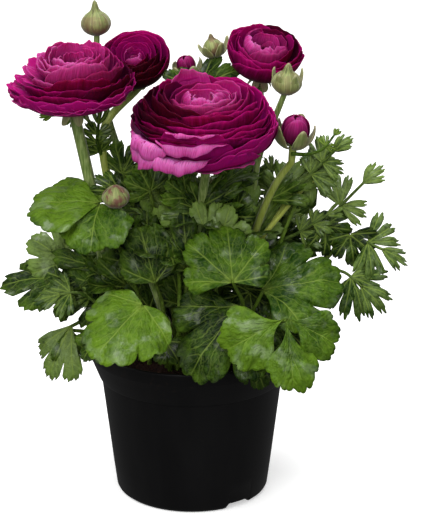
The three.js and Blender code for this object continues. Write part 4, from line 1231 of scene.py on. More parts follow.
# The large leaves: foot in the peat, places on the way up, joint, tip, the way the blade faces,
# kind of fans and how lit they are painted, low for painted shade. Those in front have finer blades.
LEAVES = {
    "leaf_front_left_high": [
        [-20, -20], [[-34, -28, 140]], [-50, -32, 183], [-91, -34, 186], [-0.05, -0.42, 0.9], TWIN, 0.95,
    ],
    "leaf_front_left_low": [
        [-12, -34], [[-16, -48, 122]], [-26, -62, 134], [-54, -88, 115], [-0.1, -0.6, 0.8], ROUNDED, 0.85,
    ],
    "leaf_front_middle": [
        [12, -30], [[29, -45, 124]], [23, -62, 147], [20, -43, 176], [0, -0.8, 0.6], CUPPED, 0.3,
    ],
    "leaf_front_right": [
        [24, -22], [[33, -38, 118]], [39, -44, 136], [83, -46, 142], [0.1, -0.55, 0.82], RAISED, 0.2,
    ],
    "leaf_front_hanging": [
        [26, -36], [[40, -58, 118]], [52, -69, 129], [57, -96, 97], [0.1, -0.75, 0.66], TERNATE, 0.85,
    ],
    "leaf_front_drooping": [
        [16, -42], [[22, -50, 118]], [27, -54, 131], [-2, -78, 102], [-0.1, -0.72, 0.68], DROOPING, 0.15,
    ],
    "leaf_left_far": [
        [-34, -4], [[-58, -2, 116]], [-79, 0, 128], [-109, -4, 129], [-0.1, -0.5, 0.85], RAGGED, 0.3,
    ],
    "leaf_left_pale": [
        [-28, 8], [[-50, 8, 118]], [-73, 6, 136], [-91, 6, 151], [0.1, -0.8, 0.6], CLEFT, 1.0,
    ],
    "leaf_left_hanging": [
        [-36, -18], [[-54, -20, 112]], [-68, -20, 107], [-84, -28, 79], [-0.3, -0.8, 0.5], SLENDER, 0.9,
    ],
    "leaf_left_inner": [
        [-26, -4], [[-42, -4, 118]], [-53, -2, 135], [-67, 0, 159], [0, -0.8, 0.5], RAGGED, 0.2,
    ],
    "leaf_middle_back": [
        [-14, -2], [[-17, -6, 112]], [-16, -7, 130], [-26, -7, 161], [0, -0.8, 0.6], PALMATE, 0.1,
    ],
    "leaf_centre": [
        [-4, -30], [], [-2, -38, 146], [-4, -42, 178], [0, -0.9, 0.3], PARTED, 0.2,
    ],
    "leaf_centre_left": [
        [-18, -10], [[-23, -16, 118]], [-25, -20, 144], [-24, -27, 174], [0.1, -0.8, 0.4], PARTED, 0.2,
    ],
    "leaf_centre_back": [
        [-2, 7], [[-12, 11, 128]], [-18, 11, 162], [-22, 12, 196], [0, -0.8, 0.5], PARTED, 0.1,
    ],
    "leaf_centre_right": [
        [4, 2], [[5, 3, 128]], [5, 3, 154], [3, 5, 184], [0, -0.8, 0.5], PARTED, 0.1,
    ],
    "leaf_right_back": [
        [30, 18], [[40, 20, 122]], [52, 20, 146], [68, 18, 176], [0, -0.8, 0.5], DIVIDED, 0.3,
    ],
}
GREY_LEAVES = ("leaf_left_pale", "leaf_left_hanging")

# The feathery leaves: foot in the peat, places of the rib, length and pairs of the leaflets, the
# share of the rib where they start, seed and how lit they are painted.
FEATHERS = {
    "feather_right_high": [
        [28, 0], [[41, -5, 161], [64, -8, 189], [82, -8, 208]], 18, 2, 0.66, 500, 0.5,
    ],
    "feather_right_middle": [
        [34, 8], [[62, 6, 143], [88, 5, 173], [99, 2, 186]], 20, 1, 0.62, 520, 0.9,
    ],
    "feather_right_long": [
        [36, -2], [[74, 0, 138], [92, -2, 152], [110, -6, 147]], 23, 1, 0.75, 540, 0.5,
    ],
    "feather_right_low": [
        [34, -18], [[60, -14, 128], [84, -16, 138], [97, -22, 130]], 25, 1, 0.78, 560, 0.3,
    ],
    "feather_left": [
        [-34, -12], [[-52, -24, 120], [-64, -28, 129], [-74, -31, 129]], 18, 1, 0.75, 580, 0.4,
    ],
}


def outwards(azimuth):
    """The way out from the middle of the pot in a direction given in degrees, and a function that
    gives the place at a distance and a height in that direction."""
    azimuth = math.radians(azimuth)
    out = np.array([math.cos(azimuth), math.sin(azimuth)])
    return out, lambda distance, height: [*(out * distance), height]


def undergrowth():
    """Small leaves that fill the heart of the plant, low at its edge and high in its middle.
    Each one leans out from the middle and faces up and out. Rows as for the large leaves, and a
    seed."""
    kinds = [PARTED, CLEFT, PARTED, PALMATE, PARTED, CLEFT, WEDGE]
    for k in range(UNDERGROWTH):
        share = (k + 0.5) / UNDERGROWTH
        out, at = outwards(k * GOLDEN_ANGLE + 12 * wobble(k + 20))
        reach = mix(10, 44, share**0.6)
        height = mix(178, 112, share) + 9 * wobble(k + 90)
        length = mix(26, 32, chance(k + 150))
        side = 0.35 * wobble(k + 210)
        tip = at(reach + 0.8 * length, height + length * mix(0.75, 0.1, share))
        tip = [tip[0] - out[1] * side * length, tip[1] + out[0] * side * length, tip[2]]
        yield [
            list(out * mix(6, 30, share)), [at(reach * 0.8, height * 0.86 + 4)],
            at(reach, height), tip, at(mix(-0.3, 0.3, share), 0.9), kinds[k % len(kinds)],
            0.9 * chance(k + 300) ** 2, 900 + 5 * k,
        ]


# Small leaves that stand in plain sight between the larger ones: joint, tip, kind and how lit
# they are painted.
GAP_LEAVES = [
    [[9, -32, 163], [3, -36, 184], PARTED, 1.0],
    [[17, -30, 162], [21, -34, 181], CLEFT, 1.0],
    [[-3, -26, 163], [-14, -28, 176], CLEFT, 0.7],
    [[5, -22, 178], [9, -26, 194], PARTED, 0.2],
    [[-2, -18, 182], [-13, -22, 194], PARTED, 0.4],
    [[23, -20, 172], [30, -24, 186], CLEFT, 0.1],
    [[-23, -12, 184], [-29, -16, 200], PARTED, 0.5],
    [[-39, 2, 190], [-31, 0, 208], PARTED, 0.3],
    [[-70, -20, 105], [-68, -28, 86], SLENDER, 0.4],
    [[-20, -45, 141], [-27, -43, 170], SPOON, 0.2],
    [[-8, -34, 149], [-1, -34, 168], PARTED, 0.8],
    [[30, -28, 132], [41, -34, 153], CLEFT, 0.2],
    [[40, -30, 126], [57, -40, 112], CLEFT, 0.3],
    [[33, -30, 130], [22, -40, 118], PARTED, 0.2],
    [[44, -26, 134], [66, -34, 126], CLEFT, 0.5],
    [[-24, -24, 118], [-34, -30, 136], CLEFT, 0.1],
    [[-6, -22, 120], [-10, -28, 140], CLEFT, 0.2],
    [[34, -6, 138], [42, -6, 158], CLEFT, 0.3],
    [[44, -40, 119], [68, -50, 102], PARTED, 0.1],
    [[36, -44, 112], [50, -56, 94], CLEFT, 0.05],
    [[-50, -10, 136], [-76, -12, 148], DIVIDED, 0.2],
    [[-50, -14, 126], [-75, -22, 119], DIVIDED, 0.3],
    [[-46, -12, 126], [-58, -14, 150], DIVIDED, 0.2],
    [[-70, -6, 128], [-92, -10, 117], RAGGED, 0.2],
    [[-36, -20, 130], [-38, -22, 156], PARTED, 0.35],
    [[-24, -18, 128], [-18, -20, 156], CLEFT, 0.3],
    [[-18, -6, 156], [-24, -8, 182], PARTED, 0.7],
    [[-2, -14, 158], [-6, -20, 186], PARTED, 0.9],
    [[13, -14, 160], [19, -18, 188], PARTED, 0.7],
    [[29, -4, 158], [33, -4, 186], PARTED, 0.8],
    [[-14, -50, 108], [-6, -58, 99], CLEFT, 0.2],
    [[33, -54, 100], [41, -62, 86], CLEFT, 0.2],
    [[-52, -36, 104], [-62, -42, 94], CLEFT, 0.3],
    [[51, -4, 182], [62, -2, 199], DIVIDED, 0.9],
    [[68, 2, 192], [80, -2, 178], DIVIDED, 0.9],
    [[90, -4, 156], [93, -8, 138], PARTED, 0.2],
    [[76, -2, 160], [88, -4, 146], PARTED, 0.2],
]

# Fronds between the larger leaves: places of the rib, length and pairs of the leaflets, the
# share of the rib where they start and how lit they are painted.
FRONDS = [
    [[[40, 8, 150], [56, 6, 174], [68, 2, 195], [86, 0, 208]], 13, 3, 0.5, 0.9],
    [[[48, 14, 146], [55, 14, 162], [62, 12, 182]], 13, 2, 0.4, 0.9],
    [[[46, 4, 144], [62, 0, 156], [78, -4, 168]], 13, 2, 0.5, 0.5],
    [[[42, 10, 148], [47, 12, 168], [46, 12, 190]], 12, 2, 0.4, 0.7],
    [[[-8, -2, 150], [-14, -4, 170], [-22, -6, 192]], 13, 3, 0.3, 0.9],
    [[[8, -2, 152], [6, -4, 172], [2, -6, 192]], 13, 3, 0.3, 0.8],
    [[[-50, -16, 118], [-62, -20, 126], [-78, -24, 124]], 13, 2, 0.3, 0.4],
    [[[-40, -8, 130], [-48, -8, 148], [-60, -8, 158]], 13, 3, 0.3, 0.5],
]

# Bare yellow-green leaf stalks at the right.
YOUNG_STALKS = [
    [[34, -12, 146], [50, -8, 168], [68, -2, 186], [82, -2, 190]],
    [[30, -10, 140], [44, -6, 160], [56, 0, 178]],
]


def gap_leaves():
    """The leaves of the list above with stalks that rise from the peat below them."""
    for k, (joint, tip, fans, light) in enumerate(GAP_LEAVES):
        out = np.array(joint[:2], float)
        distance = np.linalg.norm(out)
        foot = list(out / max(distance, 1) * min(distance, FEET_REACH))
        via = [*(out * 0.82), mix(STEM_FREE, joint[2], 0.72)]
        yield [foot, [via], joint, tip, [0, -0.75, 0.65], fans, light, 1300 + 4 * k]


def back_leaves():
    """The leaves behind the stems, spread over the back of the pot: a low one far out, then a
    high one nearer, and so on."""
    kinds = [ROUNDED, CLEFT, PARTED, PALMATE]
    found = {}
    for k in range(BACK_LEAVES):
        high = k % 2
        out, at = outwards(mix(34, 150, k / (BACK_LEAVES - 1)))
        reach = 46 if high else 66
        height = (142 if high else 118) + 8 * wobble(k + 60)
        found[f"leaf_back_{k + 1}"] = [
            list(out * 27), [at(reach * 0.72, height - 14)], at(reach, height),
            at(reach + 30, height + (4 if high else -16)), at(0.45, 0.9), kinds[k % 4],
            0.3 * high, 800 + 5 * k,
        ]
    return found


def add_leaf_stalk(growth, foot, places, top, steps, **tones):
    """A leaf's stalk, from the peat up, coloured like the upper side of its blades."""
    line, share = route(foot, places, steps)
    add_tube(growth, line, mix(1.5, top, share), STALK_SIDES, inner=1.0, **tones)


def grow_leaf(growth, foot, via, joint, tip, face, fans, light, seed=1, fine=1):
    """A lobed leaf: its stalk, which ends a little inside the blade, and its fans."""
    joint, tip = np.asarray(joint, float), np.asarray(tip, float)
    inside = joint + unit(tip - joint) * 1.2
    add_leaf_stalk(growth, foot, [*via, inside], 1.0, 30, reach=0.12, mood=0.3)
    for k, fan in enumerate(fans):
        add_fan(growth, fan, joint, tip, face, seed + k, light, fine=fine, rows=5 + 5 * fine)


def grow_frond(growth, foot, places, size, pairs, start, seed, light, fine=2):
    """A feathery leaf: its rib from the peat to its tip, and fingered leaflets along it."""
    add_leaf_stalk(growth, foot, places, 0.8, 40, reach=0.15, mood=0.4)
    add_feather_fans(growth, places, size, pairs, start, [0, -0.65, 0.75], seed, light, fine)


def grow_young_stalks(growth):
    """The bare stalks of the list above."""
    for places in YOUNG_STALKS:
        line, _ = route(np.array(places[0][:2], float) * 0.6, places, 40)
        add_tube(growth, line, np.linspace(1.9, 1.1, len(line)), sides=12, rib=0.06, place=1.0)


# stems with what grows on them

FRONT, LEFT, BACK, RIGHT = FLOWERS.values()

# Ways that small leaves face
TILTED = [0, -0.8, 0.6]
STEEP = [0, -0.8, 0.5]
UPRIGHT = [0, -0.9, 0.3]

TWIG = [[-50, 12, 206], [-62, 10, 222], [-80, 6, 223]]
RIB = [[-50, 9, 196], [-53, 4, 208], [-52, 1, 220]]
CURLED_RIB = [[56, -16, 207], [64, -19, 207.5], [73, -21, 211], [80, -21, 220]]
SIDE_LEAF = dict(CLEFT[0], spread=62, taper=0.35)

# The slopes between which sepals turn that hang below an open bloom
UNDER_BLOOM = (-35, -75)

# Each stem has up to three pieces, stalk, leaves and scales. A piece is a list of rows: what adds
# a body, its values and last its options.
FLOWER_STEMS = {
    "stem_bloom_front": dict(
        stalk=[
            [add_flower_stem, FRONT, [4, -12], [[5, -14, 130], [6, -20, 175]], (2.9, 2.6)],
            [add_branch, [[5, -14, 140], [9, -6, 165], [9, -8, 182]], (1.8, 1.5), dict(reach=0.6)],
        ],
        leaves=[[add_stem_leaves, [6, -20, 174], [[-14, -26, 186], [24, -28, 192]], TILTED, 700]],
        scales=[
            [add_sepals, FRONT, 5, UNDER_BLOOM, 14, 34],
            [add_bud, [9, -8, 181], [0.1, -0.2, 1], 6, 9, 2, 11],
        ],
    ),
    "stem_bloom_left": dict(
        stalk=[[add_flower_stem, LEFT, [-26, -14], [[-46, -16, 130], [-57, -12, 190]], (3.4, 3.1)]],
        scales=[[add_sepals, LEFT, 5, UNDER_BLOOM, 14, 34]],
    ),
    "stem_bloom_back_left": dict(
        stalk=[
            [
                add_flower_stem, BACK, [-10, 4], [[-34, 6, 140], [-48, 6, 187], [-50, 14, 212]],
                (2.6, 2.2), dict(place=0.7),
            ],
            [add_branch, TWIG, (1.2, 0.8), dict(reach=0.6)],
        ],
        leaves=[
            [add_branch, RIB, (1.4, 0.8), dict(reach=0.2, mood=0.4, inner=1.0)],
            [add_feather_fans, RIB, 13, 3, 0.25, UPRIGHT, 710, 0.6, dict(fine=1)],
            [add_feather_fans, TWIG, 11, 1, 0.6, UPRIGHT, 716, 1.0],
        ],
        scales=[[add_sepals, BACK, 5, UNDER_BLOOM, 10, 34]],
    ),
    "stem_bloom_right": dict(
        stalk=[
            [
                add_flower_stem, RIGHT, [16, 9], [[29, 13, 172], [32, 20, 198], [39, 31, 226]],
                (2.6, 2.3),
            ],
        ],
        leaves=[[add_stem_leaves, [30, 14, 178], [[12, 10, 196], [48, 22, 192]], STEEP, 720]],
        scales=[[add_sepals, RIGHT, 5, UNDER_BLOOM, 11, 34, dict(blush=0.9)]],
    ),
    "stem_bud_opening": dict(
        stalk=[
            [
                add_flower_stem, OPENING, [18, -8], [[38, -8, 164], [48, -12, 189]], (2.4, 2.0),
                dict(place=0.6),
            ],
        ],
        leaves=[
            [add_stem_leaves, [44, -10, 178], [[62, -18, 192]], STEEP, 730],
            [add_branch, CURLED_RIB, (1.2, 0.6), dict(reach=0.3, mood=0.8, inner=1.0)],
            [add_feather_fans, CURLED_RIB, 7, 1, 0.7, UPRIGHT, 733, 0.7, dict(fine=1)],
        ],
        scales=[[add_sepals, OPENING, 5, (-8, 118), 21.5, 29, dict(curl=1.5, blush=0.45)]],
    ),
}

BUD_STEMS = {
    "bud_stem_tall": dict(
        stalk=[
            [
                add_stem, [-6, 14],
                [[-24, 18, 140], [-40, 22, 191], [-49, 32, 219], [-54, 34, 249], [-54, 34, 265]],
                (2.4, 1.7),
            ],
        ],
        leaves=[[add_stem_leaves, [-34, 20, 172], [[-16, 16, 190]], STEEP, 740]],
        scales=[
            [
                add_bud, [-54, 34, 264], [-0.05, 0, 1], 7.8, 13, 6, 21,
                dict(blush=0.5, flush=0.7),
            ],
        ],
    ),
    "bud_stem_right": dict(
        stalk=[
            [
                add_stem, [24, 2], [[34, 2, 168], [38, 0, 199], [46, -4, 222], [53, -6, 241]],
                (2.2, 1.6),
            ],
        ],
        scales=[
            [add_bud, RIGHT_BUD["base"], RIGHT_BUD["axis"], 7.8, 12, 4, 31, dict(flush=0.3)],
            [add_sepals, RIGHT_BUD, 5, (0, 135), 17, 30, dict(curl=3.4)],
        ],
    ),
    "bud_stem_back": dict(
        stalk=[
            [add_stem, [8, 14], [[12, 22, 150], [15, 30, 200], [13, 38, 252]], (2.3, 1.5)],
            [
                add_branch,
                [[15, 30, 200], [6, 38, 220], on_axis(HALF_HIDDEN, -5), on_axis(HALF_HIDDEN, -0.9)],
                (1.6, 1.3), dict(reach=0.6),
            ],
        ],
        leaves=[
            [add_branch, [[5, 38, 223], [4, 36, 229], [5, 33, 235]], (1.2, 1.0), dict(inner=1.0)],
            [add_fan, SIDE_LEAF, [5, 33, 232], [25, 26, 246], STEEP, 750, 0.2],
            [add_fan, SIDE_LEAF, [0, 34, 230], [-14, 28, 242], STEEP, 756, 0.0, dict(rows=10)],
            [add_stem_leaves, [14, 28, 188], [[-6, 32, 202]], [0, -0.6, 0.8], 752],
        ],
        scales=[
            [
                add_bud, BACK_BUD["base"], BACK_BUD["axis"], 5, 9, 3, 41,
                dict(blush=0.7, flush=0.3),
            ],
            [add_sepals, BACK_BUD, 5, (-14, 116), 13, 32, dict(curl=2.4)],
            [add_sepals, HALF_HIDDEN, 5, (-14, 118), 16, 36, dict(blush=0.2)],
        ],
    ),
    "bud_stem_low": dict(
        stalk=[[add_stem, [-10, -20], [[-20, -31, 130], [-33, -36, 165], [-41, -37, 184.5]], (2.0, 1.6)]],
        leaves=[
            [
                add_fan, SLENDER[0], [-40, -32, 190], [-52, -34, 199], STEEP, 760, 0.1,
                dict(fine=1, rows=9),
            ],
        ],
        scales=[
            [
                add_bud, [-41, -37, 183.5], [-0.05, -0.1, 1], 6.9, 11, 1, 51,
                dict(blush=1.0, flush=0.3),
            ],
        ],
    ),
}


def add_rows(growth, rows):
    """Adds the bodies that a list of rows describes."""
    for add, *values in rows:
        options = values.pop() if isinstance(values[-1], dict) else {}
        add(growth, *values, **options)


# pot and peat

# The pot's section, radius and height, from the middle of the underside out, up the outside,
# over the rim and down the inside
POT_SECTION = [
    [0.5, 0.0], [9.6, 0.0], [10, 0.4], [10, 4.1], [36.8, 4.1], [37.4, 0.5], [37.8, 0.0],
    [41.2, 0.0], [42.0, 0.3], [43.6, 1.6], [44.3, 3.0], [46.2, 17.5], [49.4, 44], [52.5, 69.6],
    [52.6, 70.0], [53.1, 70.2], [53.8, 70.6], [54.1, 71.2], [56.7, 77.8], [59.3, 84.2],
    [59.6, 84.8], [60.4, 90.6], [60.45, 91.3], [60.2, 91.8], [59.8, 92.0], [59.2, 92.0],
    [58.9, 91.8], [58.8, 91.4], [57.6, 84.6], [52.4, 72.2], [44.6, 17.6], [42.9, 6.4],
    [42.4, 5.8], [0.5, 5.8],
]
POT_SIDES = 160
DRAINS = 5
DRAIN_RING = 23
DRAIN_RADIUS = 4.2

# The notches in the foot ring: number, direction of the first, section across and up, and from
# where to where they reach outwards
NOTCHES = 2
NOTCH_DIRECTION = -51
NOTCH_SECTION = [[-9.6, -2], [9.6, -2], [8.6, 2.8], [7.6, 4.0], [-7.6, 4.0], [-8.6, 2.8]]
NOTCH_REACH = (33.8, 49.8)

# The peat against the pot's floor and wall, radius and height, and its domed top: the radius of
# its edge, the height of its crown and how far it falls from there to where it would reach
PEAT_WALL = [[0.5, 6.1], [42.4, 6.1], [44.2, 17.5], [52.0, 72.0], [56.2, 82.4]]
PEAT_EDGE = 55.6
PEAT_CROWN = 85.5
PEAT_FALL = 2.5
PEAT_REACH = 56
PEAT_RINGS = 42
PEAT_SIDES = 176


def add_openings(growth):
    """What is cut out of the pot: round drains in its floor, and notches with sloping sides in
    its foot ring."""
    for k in range(DRAINS):
        _, at = outwards(360 / DRAINS * (k + 0.5))
        line = [at(DRAIN_RING, height) for height in np.linspace(1, 8, 4)]
        add_tube(growth, line, np.full(len(line), DRAIN_RADIUS), sides=24)
    across, up = np.array(NOTCH_SECTION, float).T[..., None]
    for k in range(NOTCHES):
        out, at = outwards(360 / NOTCHES * k + NOTCH_DIRECTION)
        side = np.array([-out[1], out[0], 0])
        section = across * side + up * np.array([0, 0, 1])
        ring = np.array([section + np.array(at(reach, 0)) for reach in NOTCH_REACH])
        growth.add(ring.reshape(-1, 3), closed_rings(2, len(NOTCH_SECTION)))


def add_peat(growth):
    """The peat: smooth against the pot, with a top that falls from its crown by the square of
    the radius and that three swells make rough."""
    rings = np.linspace(PEAT_EDGE, 0.5, PEAT_RINGS)
    wall_radius, wall_height = np.array(PEAT_WALL).T
    radius = np.concatenate([wall_radius, rings])[:, None] * np.ones(PEAT_SIDES)
    dome = PEAT_CROWN - PEAT_FALL * (rings / PEAT_REACH) ** 2
    height = np.concatenate([wall_height, dome])[:, None]
    points = round_axis(radius, np.arange(PEAT_SIDES) * TAU / PEAT_SIDES, height + 0 * radius)
    x, y = points[..., 0], points[..., 1]
    rough = 0.55 * swell(x * 0.9, y * 0.9, 5) + 0.4 * swell(x * 2.1, y * 2.3, 9)
    rough = rough + 0.3 * swell(x * 4.7, y * 4.3, 13)
    points[len(PEAT_WALL):, :, 2] += rough[len(PEAT_WALL):]
    growth.add(points.reshape(-1, 3), closed_rings(len(points), PEAT_SIDES))


def add_crumbs(growth, count):
    """Loose crumbs on the peat: balls of five rings of six points, made lumpy, flattened and
    spread evenly over the dome."""
    n = np.arange(count)
    radius = 54 * np.sqrt(draw(n + 1000))
    size = 0.5 + 1.3 * draw(n + 5000) ** 2
    down, round_it = np.linspace(0.12, np.pi - 0.12, 5)[:, None], np.arange(6)[None] * TAU / 6
    ball = round_axis(np.sin(down), round_it, np.cos(down) + 0 * round_it).reshape(-1, 3)
    lumps = 1 + 0.35 * (draw(np.arange(30)[None] * 3.3 + n[:, None] * 17.1) - 0.5)
    at = round_axis(radius, TAU * draw(n + 3000), 85.2 - 2.3 * (radius / PEAT_REACH) ** 2)
    flat = np.stack([np.ones(count), 0.8 + 0.4 * draw(n), 0.7 * np.ones(count)], -1)
    crumbs = at[:, None] + ball[None] * lumps[..., None] * size[:, None, None] * flat[:, None]
    # The rings run downwards, so the wall is turned over. The two small caps face inwards.
    wall, cap, other_cap = closed_rings(5, 6)
    faces = [
        (part[None] + (n * 30)[:, None, None]).reshape(-1, part.shape[1])
        for part in (wall[:, ::-1], cap, other_cap)
    ]
    growth.add(crumbs.reshape(-1, 3), faces)


# operators and panel

def color_setting(name, description, default):
    return bpy.props.FloatVectorProperty(
        name=name, description=description, default=default, size=3, min=0.0, max=1.0,
        subtype="COLOR",
    )


class RanunculusColors(bpy.types.PropertyGroup):
    """Colours of the plant, the peat and the pot."""

    petal_deep: color_setting("Deep petal", "Outside of the outer petals", (0.115, 0.0003, 0.018))
    petal_bright: color_setting("Bright petal", "Streaks and margins", (0.37, 0.004, 0.15))
    petal_rose: color_setting("Rose petal", "Petals round the heart", (0.62, 0.05, 0.30))
    petal_purple: color_setting("Purple petal", "Cooler, lit sides", (0.19, 0.003, 0.105))
    petal_pale: color_setting("Pale petal", "Open faces and the core", (0.72, 0.22, 0.56))
    petal_shade: color_setting("Petal shade", "Between the petals", (0.012, 0.0004, 0.003))
    leaf_light: color_setting("Light leaf", "Lit blades", (0.094, 0.185, 0.010))
    leaf_mid: color_setting("Middle leaf", "Shade of the lit blades", (0.010, 0.038, 0.0015))
    leaf_dark: color_setting("Dark leaf", "Blades in the middle", (0.064, 0.130, 0.011))
    leaf_deep: color_setting("Deep leaf", "Shade of the dark blades", (0.003, 0.013, 0.0012))
    leaf_grey: color_setting("Grey leaf", "Feathery leaves", (0.150, 0.218, 0.062))
    leaf_bright: color_setting("Bright leaf", "Margins and young growth", (0.125, 0.23, 0.012))
    leaf_vein: color_setting("Leaf vein", "Veins and joints", (0.22, 0.31, 0.05))
    # Painted sheen: grey shining patches that stand in for reflected light on the blades.
    leaf_painted_sheen: color_setting("Painted leaf sheen", "Grey shining patches", (0.25, 0.34, 0.17))
    leaf_under: color_setting("Leaf underside", "Back of the leaves", (0.13, 0.20, 0.06))
    stem_green: color_setting("Stem", "Stalks in shade", (0.10, 0.17, 0.02))
    stem_light: color_setting("Light stem", "Streaks of the stalks", (0.30, 0.38, 0.12))
    stem_yellow: color_setting("Yellow stem", "Young stalks", (0.40, 0.45, 0.05))
    stem_flush: color_setting("Stem flush", "Purple flush", (0.11, 0.06, 0.04))
    stem_foot: color_setting("Stem foot", "Stalks near the peat", (0.04, 0.065, 0.015))
    bud_green: color_setting("Bud", "Bud scales", (0.13, 0.17, 0.04))
    bud_light: color_setting("Light bud", "Ribs of the scales", (0.30, 0.33, 0.11))
    bud_rim: color_setting("Bud rim", "Thin margins of the scales", (0.42, 0.40, 0.22))
    bud_flush: color_setting("Bud flush", "Purple-brown flush", (0.14, 0.018, 0.03))
    peat_dark: color_setting("Dark peat", "Wet crumbs", (0.012, 0.005, 0.004))
    peat_brown: color_setting("Brown peat", "Dry crumbs", (0.045, 0.017, 0.01))
    peat_fibre: color_setting("Peat fibre", "Tan fibres", (0.12, 0.06, 0.03))
    pot_black: color_setting("Pot", "Moulded plastic", (0.0022, 0.0021, 0.0024))
    pot_soft: color_setting("Pot flow", "Flow marks in the plastic", (0.0045, 0.0044, 0.0047))
    pot_dust: color_setting("Pot dust", "Peat dust by the rim", (0.03, 0.02, 0.015))
    pot_rub: color_setting("Pot edge", "Rubbed edges", (0.04, 0.04, 0.04))
    floor_white: color_setting("Floor", "Studio floor", (0.94, 0.94, 0.935))


def share_setting(name, description):
    return bpy.props.FloatProperty(
        name=name, description=description, default=1.0, min=0.3, max=3.0, subtype="FACTOR",
    )


class RanunculusSizes(bpy.types.PropertyGroup):
    """Sizes that a user may change."""

    petal_thickness: share_setting("Petal thickness", "Share of a petal's usual thickness")
    leaf_thickness: share_setting("Leaf thickness", "Share of a leaf's usual thickness")
    crumb_count: bpy.props.IntProperty(
        name="Peat crumbs", description="Loose crumbs on the peat", default=420, min=0, max=2000,
        subtype="UNSIGNED",
    )


def grow_piece(name, finish, slot, node, grow, *values, **options):
    """A piece with one body or more, grown by a function from its values."""
    growth = Growth()
    grow(growth, *values, **options)
    return growth.piece(name, finish_of(finish), slot, node)


def grow_stems(stems):
    """The stalk, leaves and scales of each stem, which one CAD node stands for."""
    for name, parts in stems.items():
        for part, finish, slot in (
            ("stalk", "downy_stem", "stem"), ("leaves", "small_blade", "leaf"),
            ("scales", "scaly_bud", "bud"),
        ):
            if part in parts:
                grow_piece(f"{name}_{part}", finish, slot, name, add_rows, parts[part])


class RANUNCULUS_OT_blooms(bpy.types.Operator):
    """Builds the four open blooms"""

    bl_idname = "ranunculus.blooms"
    bl_label = "Blooms"

    def execute(self, context):
        for name, flower in FLOWERS.items():
            grow_piece("petals_" + name, "satin_petal", "petal", name, grow_bloom, flower)
        return {"FINISHED"}


class RANUNCULUS_OT_bud_petals(bpy.types.Operator):
    """Builds the petals of the buds that show colour"""

    bl_idname = "ranunculus.bud_petals"
    bl_label = "Bud petals"

    def execute(self, context):
        for name, flower, count in (
            ("bud_petals_opening", OPENING, 9), ("bud_petals_half_hidden", HALF_HIDDEN, 7),
        ):
            grow_piece(
                "petals_" + name, "satin_petal", "petal", name, grow_bud_petals, flower, count
            )
        return {"FINISHED"}


class RANUNCULUS_OT_stems(bpy.types.Operator):
    """Builds the flowering stems with their sepals, small leaves and side buds"""

    bl_idname = "ranunculus.stems"
    bl_label = "Flower stems"

    def execute(self, context):
        grow_stems(FLOWER_STEMS)
        return {"FINISHED"}


class RANUNCULUS_OT_buds(bpy.types.Operator):
    """Builds the four stems that carry closed buds"""

    bl_idname = "ranunculus.buds"
    bl_label = "Bud stems"

    def execute(self, context):
        grow_stems(BUD_STEMS)
        return {"FINISHED"}


class RANUNCULUS_OT_leaves(bpy.types.Operator):
    """Builds the lobed leaves"""

    bl_idname = "ranunculus.leaves"
    bl_label = "Leaves"

    def execute(self, context):
        slots = {n["node"]: n["material_slot"] for n in frame["record"]["subparts"]}
        for name, leaf in {**LEAVES, **back_leaves()}.items():
            # Blades in the CAD's leaf slot get the lit finish, the others the finish painted into shade.
            finish = "lit_blade" if slots[name] == "leaf" else "shaded_blade"
            if name in GREY_LEAVES:
                finish = "grey_blade"
            fine = 3 if name.startswith("leaf_front") else 1
            grow_piece("blade_" + name, finish, slots[name], name, grow_leaf, *leaf, fine=fine)
        return {"FINISHED"}


class RANUNCULUS_OT_feathers(bpy.types.Operator):
    """Builds the feathery leaves"""

    bl_idname = "ranunculus.feathers"
    bl_label = "Feathery leaves"

    def execute(self, context):
        for name, leaf in FEATHERS.items():
            grow_piece("fronds_" + name, "grey_blade", "leaf", name, grow_frond, *leaf)
        return {"FINISHED"}


class RANUNCULUS_OT_undergrowth(bpy.types.Operator):
    """Builds the small leaves, fronds and young stalks between the stems"""

    bl_idname = "ranunculus.undergrowth"
    bl_label = "Undergrowth"

    def execute(self, context):
        for title, leaves in (("undergrowth", undergrowth()), ("gap_leaf", gap_leaves())):
            for k, leaf in enumerate(leaves):
                *_, light, _ = leaf
                # Painted light: the more lit small leaves get the pale lit finish, the rest the one
                # painted into shade.
                finish = "pale_lit_blade" if light > PALE_LIT_LEVEL else "shaded_blade"
                grow_piece(f"{title}_{k + 1}", finish, "leaf_dark", None, grow_leaf, *leaf)
        for k, (places, size, pairs, start, light) in enumerate(FRONDS):
            foot = np.array(places[0][:2], float) * 0.7
            grow_piece(
                f"frond_{k + 1}", "grey_blade", "leaf_dark", None, grow_frond, foot, places,
                size, pairs, start, 1500 + 20 * k, light, fine=1,
            )
        grow_piece("young_stalks", "downy_stem", "stem", None, grow_young_stalks)
        return {"FINISHED"}


class RANUNCULUS_OT_pot(bpy.types.Operator):
    """Builds the nursery pot with its drains and foot notches"""

    bl_idname = "ranunculus.pot"
    bl_label = "Pot"

    def execute(self, context):
        growth, openings = Growth(), Growth()
        add_turned(growth, POT_SECTION, POT_SIDES)
        finish = finish_of("moulded_pot")
        pot = growth.piece("nursery_pot", finish, "pot_plastic", "pot", sharp=40)
        add_openings(openings)
        knife = openings.piece("pot_cutter", finish, "pot_plastic", "pot")
        cut = pot.modifiers.new("openings", "BOOLEAN")
        cut.operation, cut.solver, cut.object = "DIFFERENCE", "EXACT", knife
        context.view_layer.update()
        whole = pot.evaluated_get(context.evaluated_depsgraph_get())
        mesh = bpy.data.meshes.new_from_object(whole)
        pot.modifiers.clear()
        pot.data = mesh
        bpy.data.objects.remove(knife)
        return {"FINISHED"}


